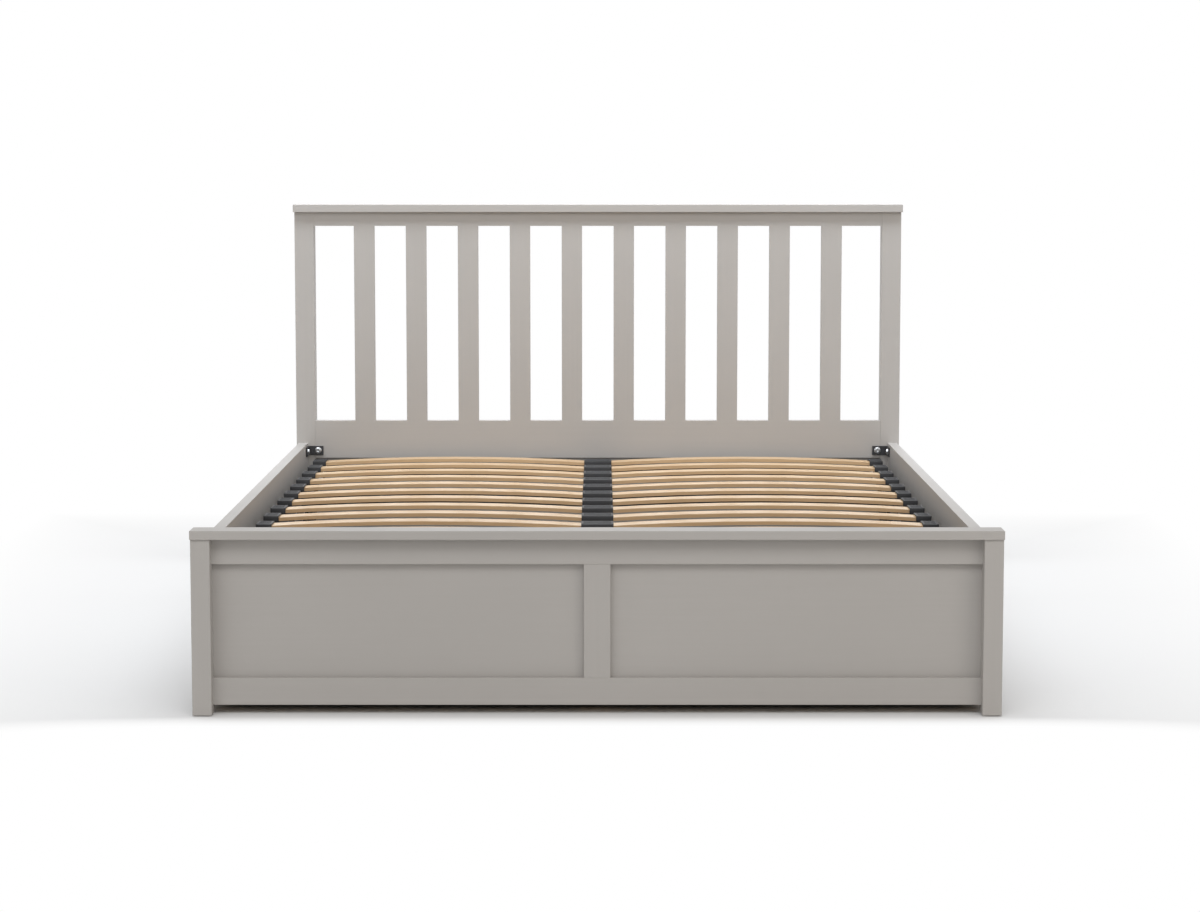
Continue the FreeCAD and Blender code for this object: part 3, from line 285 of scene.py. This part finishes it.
def hardboard(name):
    """Matt fibre board."""
    look = Look(name, srgb(186, 178, 168), 0.7)
    fibre = look.noise(look.place, 260.0, 5.0, 0.7)
    cloud = look.noise(look.place, 3.0, 4.0)
    tone = look.mix(look.span(cloud, 0.3, 0.7), srgb(190, 183, 173), srgb(176, 168, 158))
    look.colour(look.mix(look.span(fibre, 0.4, 0.7, 0.0, 0.35), tone, srgb(150, 141, 130)))
    look.roughness(look.span(fibre, 0.2, 0.8, 0.62, 0.8))
    look.bump((fibre, 0.3, 0.0002))
    return look.material


def webbing(name):
    """Woven strap: ribs across, threads along."""
    look = Look(name, srgb(52, 52, 55), 0.85, sheen=0.3)
    weft = look.bands("X", 190.0, Distortion=0.6, Detail=1.0)
    warp = look.bands("Y", 300.0, Distortion=0.6, Detail=1.0)
    weave = look.maths("MULTIPLY", weft, warp)
    fuzz = look.noise(look.place, 700.0, 3.0)
    tone = look.mix(look.span(weave, 0.0, 0.8), srgb(30, 30, 33), srgb(74, 74, 78))
    look.colour(look.mix(look.span(fuzz, 0.4, 0.7, 0.0, 0.3), tone, srgb(96, 96, 100)))
    look.roughness(look.span(fuzz, 0.2, 0.8, 0.78, 0.95))
    look.bump((weave, 0.6, 0.0004), (fuzz, 0.2, 0.0001))
    return look.material


def twisted_thread(name):
    """Twisted polyester thread."""
    look = Look(name, srgb(60, 60, 63), 0.7, sheen=0.2)
    twist = look.bands("DIAGONAL", 900.0, Distortion=0.4)
    look.colour(look.mix(twist, srgb(40, 40, 43), srgb(88, 88, 92)))
    look.roughness(look.span(twist, 0.0, 1.0, 0.6, 0.8))
    look.bump((twist, 0.4, 0.0001))
    return look.material


def dress(prefixes, material):
    """Give a material to every node whose name starts with one of the prefixes."""
    for name, node in NODES.items():
        if name.startswith(prefixes):
            node.data.materials.clear()
            node.data.materials.append(material)


def dress_slats():
    """Give the sprung slats their ply, from the circle that their undersides follow."""
    rise = 0.012
    low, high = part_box("sprung_slats_right")
    bend = ((high.x - low.x) ** 2 / 4 + rise ** 2) / (2 * rise)
    dress(("sprung_slats",), beech("beech", (low.x + high.x) / 2, bend, low.z + rise - bend))


paint_across = painted("paint_across", "x")
paint_lengthwise = painted("paint_lengthwise", "y")
paint_upright = painted("paint_upright", "z")
dress(("footboard_cap", "footboard_lower_rail", "footboard_top_rail", "footboard_panel",
       "headboard_cap", "headboard_lower_rail", "headboard_middle_rail", "headboard_top_rail",
       "headboard_panel"), paint_across)
dress(("footboard_leg", "footboard_stile", "headboard_post", "headboard_slats"), paint_upright)
dress(("side_rail",), paint_lengthwise)
dress(("floor_ledges", "centre_beam"), pine("pine", "y"))
dress(("storage_floor",), hardboard("hardboard"))
steel = coated("black_coat", srgb(44, 44, 46))
dress(("platform_", "moving_plate", "base_plate", "rear_link", "front_link", "corner_angles",
       "rest_brackets", "mattress_bar"), steel)
dress(("strut_cylinder",), coated("gloss_coat", srgb(28, 28, 30), 0.3))
dress(("strut_rod",), bright("chrome", srgb(226, 226, 228), 0.12))
zinc = bright("zinc", srgb(198, 200, 202), 0.3)
dress(("corner_bolts", "base_pins", "platform_pins"), zinc)
plastic = moulded("black_plastic", srgb(38, 38, 40))
dress(("slat_holders", "tube_caps", "beam_feet"), plastic)
dress(("rest_pads",), moulded("rubber", srgb(34, 34, 35), 0.75, 700.0))
dress(("leg_glides",), moulded("glides", srgb(52, 50, 48), 0.4))
dress_slats()


# Small pieces

def circle(spot, first, second, reach, count):
    """Points around a spot, in the plane of two directions."""
    return [spot + reach * (math.cos(turn) * first + math.sin(turn) * second)
            for turn in np.linspace(0, FULL_TURN, count, endpoint=False)]


def scaled(profile, radius, height):
    """A profile given in shares of a radius and a height, in metres."""
    return [(radius * wide, height * up, corners) for wide, up, corners in profile]


class Forms:
    """Points and faces of like pieces, gathered into one object that rides on a body."""

    def __init__(self):
        self.points = []
        self.faces = []

    def skin(self, rings):
        """A closed skin over rings of points, with a flat face at both ends."""
        start = len(self.points)
        count = len(rings[0])
        for ring in rings:
            self.points.extend(ring)
        for level in range(len(rings) - 1):
            low = start + level * count
            for index in range(count):
                following = (index + 1) % count
                self.faces.append((low + index, low + following,
                                   low + count + following, low + count + index))
        last = start + (len(rings) - 1) * count
        self.faces.append(tuple(range(start + count - 1, start - 1, -1)))
        self.faces.append(tuple(range(last, last + count)))

    def turned(self, spot, axis, profile, count=36):
        """A turned form: radius, height and corners (0 is round) of each ring on the axis."""
        axis = Vector(axis).normalized()
        first = axis.orthogonal().normalized()
        second = axis.cross(first)
        rings = []
        for radius, height, corners in profile:
            ring = []
            for index in range(count):
                turn = FULL_TURN * index / count
                reach = radius
                if corners:
                    sector = FULL_TURN / corners
                    reach *= math.cos(sector / 2) / math.cos(turn % sector - sector / 2)
                ring.append(Vector(spot) + axis * height
                            + reach * (math.cos(turn) * first + math.sin(turn) * second))
            rings.append(ring)
        self.skin(rings)

    def thread(self, path, radius, count=8):
        """A round thread along a path, with tapered ends."""
        last = len(path) - 1
        rings = []
        for index, spot in enumerate(path):
            ahead = path[min(index + 1, last)] - path[max(index - 1, 0)]
            first = ahead.orthogonal().normalized()
            second = ahead.normalized().cross(first)
            reach = radius * (0.35 if index in (0, last) else 1.0)
            rings.append(circle(spot, first, second, reach, count))
        self.skin(rings)

    def stitches(self, start, end, step=0.0034, radius=0.00035):
        """A row of stitches from start to end, each a short thread that dips at its ends."""
        run = Vector(end) - Vector(start)
        count = max(1, round(run.length / step))
        dip = Vector((0, 0, radius))
        for index in range(count):
            low = Vector(start) + run * (index + 0.12) / count
            high = Vector(start) + run * (index + 0.88) / count
            self.thread([low - dip, low.lerp(high, 0.2), low.lerp(high, 0.8), high - dip], radius)

    def bead(self, start, end, radius, pitch=0.0022):
        """A weld bead along a line, whose thickness rises and drops with each scale."""
        run = Vector(end) - Vector(start)
        ahead = run.normalized()
        first = ahead.orthogonal().normalized()
        second = ahead.cross(first)
        count = max(4, round(4 * run.length / pitch))
        rings = []
        for index in range(count + 1):
            reach = radius * (0.8 + 0.22 * (index % 4) / 3)
            if index in (0, count):
                reach *= 0.4
            rings.append(circle(Vector(start) + run * index / count, first, second, reach, 10))
        self.skin(rings)

    def washer_screw(self, spot, axis, radius, washer):
        """A pan head screw with a hexagonal socket, standing on a washer."""
        thick = washer * 0.16
        self.turned(spot, axis, ((washer, 0, 0), (washer, thick * 0.8, 0),
                                 (washer * 0.95, thick, 0), (radius, thick, 0)))
        tall = radius * 0.62
        head = [(radius, thick * 0.9, 0)]
        for share in np.linspace(0.1, 1, 7):
            turn = float(share) * math.pi / 2
            head.append((radius * (0.52 + 0.48 * math.cos(turn)), thick + tall * math.sin(turn), 0))
        head += [(radius * 0.5, thick + tall * 0.98, HEXAGON),
                 (radius * 0.47, thick + tall * 0.35, HEXAGON),
                 (radius * 0.1, thick + tall * 0.3, HEXAGON)]
        self.turned(spot, axis, head)

    def make(self, name, material, body, smooth=38.0):
        """The object itself, smooth where its faces meet at less than the given degrees."""
        mesh = bpy.data.meshes.new(name)
        mesh.from_pydata(self.points, [], self.faces)
        mesh.materials.append(material)
        mesh.shade_smooth()
        mesh.set_sharp_from_angle(angle=math.radians(smooth))
        piece = bpy.data.objects.new(name, mesh)
        bpy.context.scene.collection.objects.link(piece)
        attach(piece, body)
        return piece


def solids_of(name):
    """Lowest and highest corner of each separate solid of a node."""
    mesh = NODES[name].data
    spots = [tuple(round(number, 5) for number in vertex.co) for vertex in mesh.vertices]
    leader = {spot: spot for spot in spots}

    def lead(spot):
        while leader[spot] != spot:
            spot = leader[spot]
        return spot

    for face in mesh.polygons:
        first = lead(spots[face.vertices[0]])
        for index in face.vertices[1:]:
            leader[lead(spots[index])] = first
    groups = {}
    for spot in leader:
        groups.setdefault(lead(spot), []).append(spot)
    return [(Vector(map(min, zip(*group))), Vector(map(max, zip(*group))))
            for group in groups.values()]


def smooth_line(corners, step, reach):
    """Points every step along straight runs, averaged over a reach to round the corners."""
    line = []
    for start, end in zip(corners, corners[1:]):
        count = max(1, round((end - start).length / step))
        line.extend(start.lerp(end, index / count) for index in range(count))
    line.append(corners[-1])
    width = round(reach / step)
    made = []
    for index in range(len(line)):
        near = min(width, index, len(line) - 1 - index)
        window = line[index - near:index + near + 1]
        made.append(sum(window, Vector((0, 0, 0))) / len(window))
    return made


def strap_section(spot, upward, wide, thick):
    """Points around the strap's flat section, with rounded edges."""
    ring = []
    for turn in np.linspace(0, FULL_TURN, 36, endpoint=False):
        across = math.copysign(abs(math.cos(turn)) ** 0.25, math.cos(turn))
        through = math.copysign(abs(math.sin(turn)) ** 0.6, math.sin(turn))
        ring.append(spot + Vector((0, wide * across, 0)) + upward * (thick * through))
    return ring


def pull_strap():
    """Webbing loop with its ends folded under, sewn, and screwed to the foot tube."""
    layer = 0.0014
    tab = 0.022
    low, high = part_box("pull_strap")
    middle_y = (low.y + high.y) / 2
    foot = low.z + layer / 2
    rise = high.z - low.z - 2 * layer
    half = high.x - tab
    bend = (half ** 2 + rise ** 2) / (2 * rise)
    arc = []
    for share in np.linspace(-1, 1, 41):
        x = float(share) * half
        z = foot + layer + math.sqrt(bend ** 2 - x ** 2) - bend + rise
        arc.append(Vector((x, middle_y, z)))
    outer = high.x - layer
    left_end = [Vector((-half - 0.002, middle_y, foot)), Vector((-outer, middle_y, foot)),
                Vector((-outer, middle_y, foot + layer))]
    right_end = [Vector((-spot.x, spot.y, spot.z)) for spot in reversed(left_end)]
    path = smooth_line(left_end + arc + right_end, step=0.0007, reach=0.0042)
    rings = []
    for index, spot in enumerate(path):
        ahead = (path[min(index + 1, len(path) - 1)] - path[max(index - 1, 0)]).normalized()
        # The edges wave a little, as the weft pulls them in.
        wide = (high.y - low.y) / 2 - 0.0004 - 0.0002 * math.sin(index * 0.35)
        rings.append(strap_section(spot, ahead.cross(Vector((0, 1, 0))), wide, layer * 0.46))
    band = Forms()
    band.skin(rings)
    strap = band.make("strap_band", webbing("webbing"), "platform", 60.0)
    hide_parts("pull_strap")

    inset = 0.0025
    top = foot + layer * 1.5
    sewn = Forms()
    for sign in (-1, 1):
        near = sign * (half + inset)
        far = sign * (high.x - 0.0035)
        for side_y in (low.y + inset, high.y - inset):
            sewn.stitches((near, side_y, top), (far, side_y, top))
        for end_x in (near, far):
            sewn.stitches((end_x, low.y + inset, top), (end_x, high.y - inset, top))
    sewn.make("strap_stitches", twisted_thread("strap_thread"), "platform", 60.0)

    screws = Forms()
    for sign in (-1, 1):
        spot = (sign * (half + tab / 2), middle_y, top)
        screws.washer_screw(spot, (0, 0, 1), radius=0.0036, washer=0.0062)
    screws.make("strap_screws", zinc, "platform")


def slat_holders():
    """Moulded slat holders with rounded edges, and ribs on top along the slats."""
    merge, flat, corner = 0.00001, math.radians(1), math.radians(30)
    rounding = 0.0008
    rib_radius = 0.001
    rib_sunk = 0.0003
    for name in ("slat_holders_left", "slat_holders_centre", "slat_holders_right"):
        form = bmesh.new()
        form.from_mesh(NODES[name].data)
        bmesh.ops.remove_doubles(form, verts=form.verts, dist=merge)
        bmesh.ops.dissolve_limit(form, angle_limit=flat, verts=form.verts, edges=form.edges)
        sharp = [edge for edge in form.edges if edge.calc_face_angle(0.0) > corner]
        bmesh.ops.bevel(form, geom=sharp, offset=rounding, offset_type="OFFSET", segments=2,
                        profile=0.5, affect="EDGES", clamp_overlap=True)
        form.verts.index_update()
        holders = Forms()
        holders.points = [vertex.co.copy() for vertex in form.verts]
        holders.faces = [tuple(vertex.index for vertex in face.verts) for face in form.faces]
        form.free()
        for low, high in solids_of(name):
            ends = (low.x + 0.004, low.x + 0.0055, high.x - 0.0055, high.x - 0.004)
            for share in (0.18, 0.34, 0.5, 0.66, 0.82):
                along = low.y + share * (high.y - low.y)
                holders.thread([Vector((x, along, high.z - rib_sunk)) for x in ends], rib_radius)
        made = holders.make(name + "_ribbed", plastic, "platform")
        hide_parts(name)


# Profiles in shares of the bolt head's radius and height.
BOLT_FLANGE = ((1.16, 0, 0), (1.16, 0.16, 0), (1.05, 0.28, 0), (0.9, 0.3, 0))
BOLT_HEAD = ((0.97, 0.25, HEXAGON), (0.97, 0.84, HEXAGON), (0.9, 0.95, HEXAGON),
             (0.8, 1, 0), (0.42, 1, 0), (0.36, 0.9, 0))


def corner_bolts():
    """Flanged hexagon bolts that hold the corner angles."""
    bolts = Forms()
    for low, high in solids_of("corner_bolts"):
        extent = high - low
        thin = min(range(3), key=lambda index: extent[index])
        middle = (low + high) / 2
        inward = Vector((0, 0, 0))
        inward[thin] = -math.copysign(1, middle[thin])
        thick = extent[thin]
        radius = max(extent) / 2
        seat = middle - inward * thick / 2
        for profile in (BOLT_FLANGE, BOLT_HEAD):
            bolts.turned(seat, inward, scaled(profile, radius, thick))
    made = bolts.make("corner_bolt_heads", zinc, "frame", 30.0)
    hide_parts("corner_bolts")


def frame_screws():
    """Screws of the base plates and rest brackets, which go into the side rails."""
    inset = 0.013
    flush = 0.0002
    bracket_thick = 0.004
    screws = Forms()
    for side, sign in SIDES:
        low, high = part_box("base_plate_" + side)
        inward = (-sign, 0, 0)
        rail_face = max(abs(low.x), abs(high.x))
        plate_face = min(abs(low.x), abs(high.x))
        # A socket screw that ends just below the plate's face, in its lower foot end corner.
        deep = rail_face - plate_face - flush
        screws.turned((sign * rail_face, low.y + inset, low.z + inset), inward,
                      ((0.0028, 0, 0), (0.0031, deep * 0.6, 0), (0.0031, deep - 0.0002, 0),
                       (0.0029, deep, 0), (0.0014, deep, HEXAGON), (0.0013, deep * 0.6, HEXAGON),
                       (0.0003, deep * 0.55, HEXAGON)), 24)
        for up in (low.z + inset, low.z + 0.107):
            spot = (sign * plate_face, high.y - inset, up)
            screws.washer_screw(spot, inward, radius=0.0046, washer=0.0068)
    for low, high in solids_of("rest_brackets"):
        sign = math.copysign(1, low.x)
        face = max(abs(low.x), abs(high.x)) - bracket_thick
        for share in (0.25, 0.75):
            spot = (sign * face, low.y + share * (high.y - low.y), low.z + inset)
            screws.washer_screw(spot, (-sign, 0, 0), radius=0.0040, washer=0.0060)
    screws.make("frame_screws", zinc, "frame")


NUT_WASHER = ((0.0078, 0, 0), (0.0078, 0.0009, 0), (0.0073, 0.0012, 0), (0.005, 0.0012, 0))
NUT = ((0.0060, 0.001, 0), (0.0064, 0.0016, HEXAGON), (0.0064, 0.0054, HEXAGON),
       (0.0060, 0.0061, 0), (0.0034, 0.0061, 0))
BOLT_END = ((0.0031, 0.005, 0), (0.0031, 0.0084, 0), (0.0024, 0.0092, 0))


def plate_nuts():
    """Nuts on the side tubes' inner faces, on the bolts through the moving plates."""
    inset = 0.02
    nuts = Forms()
    for side, sign in SIDES:
        low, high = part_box("moving_plate_" + side)
        tube_low, tube_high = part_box("platform_side_" + side)
        face = min(abs(tube_low.x), abs(tube_high.x))
        for along in (low.y + inset, high.y - inset):
            seat = (sign * face, along, (tube_low.z + tube_high.z) / 2)
            for profile, count in ((NUT_WASHER, 36), (NUT, 36), (BOLT_END, 24)):
                nuts.turned(seat, (-sign, 0, 0), profile, count)
    nuts.make("plate_nuts", zinc, "platform", 30.0)


def welds():
    """Weld beads where the platform's tubes meet, and at the feet of the mattress bar."""
    radius = 0.0016
    beads = Forms()
    side_low, side_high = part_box("platform_side_right")
    face = min(abs(side_low.x), abs(side_high.x))
    top, bottom = side_high.z, side_low.z
    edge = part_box("platform_centre_tube")[1].x
    for name, inner in (("platform_foot_tube", 1), ("platform_head_tube", 0)):
        ends = [corner.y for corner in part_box(name)]
        inner_y, outer_y = ends[inner], ends[1 - inner]
        for sign in (-1, 1):
            beads.bead((sign * face, inner_y, bottom), (sign * face, inner_y, top), radius)
            beads.bead((sign * face, inner_y, bottom), (sign * face, outer_y, bottom), radius)
            beads.bead((sign * face, inner_y, top), (sign * face, outer_y, top), radius * 0.8)
            beads.bead((sign * edge, inner_y, bottom), (sign * edge, inner_y, top), radius)
        beads.bead((-edge, inner_y, bottom), (edge, inner_y, bottom), radius)
    for low, high in solids_of("platform_cross_tubes"):
        for x in (low.x, high.x):
            for y in (low.y, high.y):
                beads.bead((x, y, low.z), (x, y, high.z), radius)
            beads.bead((x, low.y, low.z), (x, high.y, low.z), radius)
    bar_low, bar_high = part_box("mattress_bar")
    wide = bar_high.y - bar_low.y
    above = bar_low.z + 0.0003
    for x in (bar_low.x + wide / 2, bar_high.x - wide / 2):
        beads.bead((x - wide / 2, bar_high.y, above), (x + wide / 2, bar_high.y, above), radius)
    beads.make("platform_welds", steel, "platform", 60.0)


def strut_trim():
    """Crimped mouth and seal of each gas strut's cylinder."""
    radius = 0.011
    foot_y, foot_z = 0.5675, 0.065
    axis = Vector((0, 0.291, 0.157)).normalized()
    crimp = ((radius - 0.0004, 0, 0), (radius + 0.0003, 0.0008, 0),
             (radius + 0.0003, 0.0018, 0), (radius - 0.0004, 0.0026, 0))
    seal = ((radius - 0.0012, 0, 0), (radius - 0.0012, 0.0009, 0),
            (radius - 0.0022, 0.0016, 0), (0.0052, 0.0016, 0))
    for side, _ in SIDES:
        name = "strut_cylinder_" + side
        low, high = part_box(name)
        foot = Vector(((low.x + high.x) / 2, foot_y, foot_z))
        reach = max((vertex.co - foot).dot(axis) for vertex in NODES[name].data.vertices)
        trim = Forms()
        trim.turned(foot + axis * (reach - 0.0085), axis, crimp, 48)
        trim.turned(foot + axis * (reach - 0.0004), axis, seal, 48)
        trim.make("strut_seal_" + side, plastic, name)


def floor_joints():
    """Thin plastic strips that join the storage floor's boards, grooved along the middle."""
    half = 0.007
    tall = 0.0009
    end_gap = 0.006
    section = ((-half, 0.0), (half, 0.0), (half, tall * 0.5), (half * 0.9, tall),
               (half * 0.12, tall), (0.0, tall * 0.6), (-half * 0.12, tall),
               (-half * 0.9, tall), (-half, tall * 0.5))
    boards = sorted(solids_of("storage_floor"), key=lambda pair: pair[0].y)
    strips = Forms()
    for (low, high), (next_low, _) in zip(boards, boards[1:]):
        middle_y = (high.y + next_low.y) / 2
        strips.skin([[Vector((float(x), middle_y + across, high.z + up)) for across, up in section]
                     for x in np.linspace(low.x + end_gap, high.x - end_gap, 5)])
    strips.make("floor_joint_strips", moulded("joint_plastic", srgb(150, 145, 138), 0.5), "frame",
                20.0)


pull_strap()
slat_holders()
corner_bolts()
frame_screws()
plate_nuts()
welds()
strut_trim()
floor_joints()


# Floor, light and camera

def floor():
    """A pale floor that keeps the shadow near the bed and fades to white further out.

    Only the camera and reflections see the fade and the painted shade towards the head end. Light
    bounces off the plain pale floor, except under the bed, where painted shade darkens it.
    """
    bpy.ops.mesh.primitive_plane_add(size=80)
    ground = bpy.context.object
    ground.name = "floor"
    pale = srgb(238, 237, 235)
    look = Look("floor_paint", pale, 0.9)
    seen = look.add("ShaderNodeLightPath").outputs
    looked = look.maths("MAXIMUM", seen["Is Camera Ray"],
                        look.maths("MAXIMUM", seen["Is Glossy Ray"], seen["Is Transmission Ray"]))

    # Distances outside the bed's sides, foot end and head end, below zero inside them.
    spot = look.add("ShaderNodeSeparateXYZ", Vector=look.place).outputs
    beside = look.maths("SUBTRACT", look.maths("ABSOLUTE", spot["X"]), CAD_BOX[1][0])
    before = look.maths("SUBTRACT", CAD_BOX[0][1], spot["Y"])
    behind = look.maths("SUBTRACT", spot["Y"], CAD_BOX[1][1])

    # Painted shade: the floor as it is seen darkens towards the head end, and a dark grey is
    # painted under the bed.
    shown = look.mix(look.span(spot["Y"], -1.1, 0.5),
                     (0.90, 0.90, 0.90, 1.0), (0.73, 0.72, 0.71, 1.0))
    tone = look.mix(looked, pale, shown)
    # Painted shade under the bed: a dark grey that every ray sees, so it also darkens light bounced
    # off the floor there.
    under = look.maths("MINIMUM", look.span(beside, -0.08, -0.03, 1.0, 0.0),
                       look.span(before, -0.125, -0.085, 1.0, 0.0))
    under = look.maths("MINIMUM", under, look.span(behind, -0.125, -0.085, 1.0, 0.0))
    look.colour(look.mix(under, tone, srgb(92, 92, 94)))

    # The fade is quick before the foot end, slower the further off to the side, and slowest
    # beside and behind the bed.
    apart = look.span(beside, 0.0, 1.0)
    reach = look.maths("MULTIPLY_ADD", look.maths("MULTIPLY", apart, apart), 0.6, 0.113)
    left = look.maths("DIVIDE", look.maths("ADD", before, 0.003), reach)
    left = look.span(left, 0.0, 1.0, 1.0, 0.0)
    share = look.maths("MAXIMUM", look.span(beside, 0.0, 0.9), look.span(behind, 0.0, 1.15))
    share = look.maths("MAXIMUM", share,
                       look.maths("SUBTRACT", 1.0, look.maths("MULTIPLY", left, left)))
    white = look.add("ShaderNodeEmission", Color=(1.0, 1.0, 1.0, 1.0), Strength=1.0)
    blend = look.add("ShaderNodeMixShader")
    look.put(look.maths("MULTIPLY", looked, share), blend.inputs[0])
    look.put(look.shader.outputs["BSDF"], blend.inputs[1])
    look.put(white.outputs["Emission"], blend.inputs[2])
    look.put(blend.outputs["Shader"], look.tree.nodes["Material Output"].inputs["Surface"])
    ground.data.materials.append(look.material)


def surroundings(strength):
    """Faint light from all around, which the camera and reflections see as pure white."""
    world = bpy.data.worlds.new("studio")
    bpy.context.scene.world = world
    world.use_nodes = True
    tree = world.node_tree
    light = tree.nodes["Background"]
    light.inputs["Color"].default_value = (1.0, 0.99, 0.98, 1.0)
    light.inputs["Strength"].default_value = strength
    white = tree.nodes.new("ShaderNodeBackground")
    white.inputs["Color"].default_value = (1.0, 1.0, 1.0, 1.0)
    rays = tree.nodes.new("ShaderNodeLightPath")
    mirrored = tree.nodes.new("ShaderNodeMath")
    looked = tree.nodes.new("ShaderNodeMath")
    for node in (mirrored, looked):
        node.operation = "MAXIMUM"
    blend = tree.nodes.new("ShaderNodeMixShader")
    for source, target in ((rays.outputs["Is Glossy Ray"], mirrored.inputs[0]),
                           (rays.outputs["Is Transmission Ray"], mirrored.inputs[1]),
                           (mirrored.outputs[0], looked.inputs[0]),
                           (rays.outputs["Is Camera Ray"], looked.inputs[1]),
                           (looked.outputs[0], blend.inputs[0]),
                           (light.outputs[0], blend.inputs[1]),
                           (white.outputs[0], blend.inputs[2]),
                           (blend.outputs[0], tree.nodes["World Output"].inputs["Surface"])):
        tree.links.new(source, target)


def lamp(name, place, target, wide, deep, power, colour=(1.0, 1.0, 1.0), spread=180.0):
    """A softbox that points at a target. Power is in watts and spread in degrees."""
    light = bpy.data.lights.new(name, "AREA")
    light.shape = "RECTANGLE"
    light.spread = math.radians(spread)
    light.size = wide
    light.size_y = deep
    light.energy = power
    light.color = colour
    holder = bpy.data.objects.new(name, light)
    bpy.context.scene.collection.objects.link(holder)
    holder.location = place
    holder.rotation_euler = (Vector(target) - Vector(place)).to_track_quat("-Z", "Y").to_euler()


def camera():
    """The photograph's camera, solved from the edges of the boards."""
    lens = bpy.data.cameras.new("camera")
    lens.sensor_width = 36.0
    lens.lens = 89.27
    eye = bpy.data.objects.new("camera", lens)
    bpy.context.scene.collection.objects.link(eye)
    eye.location = (0.0058, -6.9415, 1.1406)
    degrees_down = 5.993
    eye.rotation_euler = (math.radians(90 - degrees_down), 0.0, 0.0)
    bpy.context.scene.camera = eye


floor()
surroundings(0.35)
lamp("overhead", (0.0, 0.25, 3.2), (0.0, 1.05, 0.8), 4.6, 0.8, 52.0, (0.89, 0.94, 1.0), 112.0)
lamp("front_high", (0.0, -5.6, 5.0), (0.0, -0.6, 0.3), 5.0, 2.6, 128.0)
lamp("front_left", (-3.0, -4.2, 2.0), (-0.4, -0.3, 0.4), 2.4, 2.0, 21.0, (0.97, 0.99, 1.0))
lamp("front_right", (3.2, -3.8, 1.9), (0.4, -0.3, 0.4), 2.0, 2.0, 25.0, (1.0, 0.93, 0.85))
lamp("behind", (0.0, 4.4, 2.6), (0.0, 1.0, 0.5), 2.6, 1.6, 24.0)
camera()
bpy.context.scene.view_settings.view_transform = "Standard"
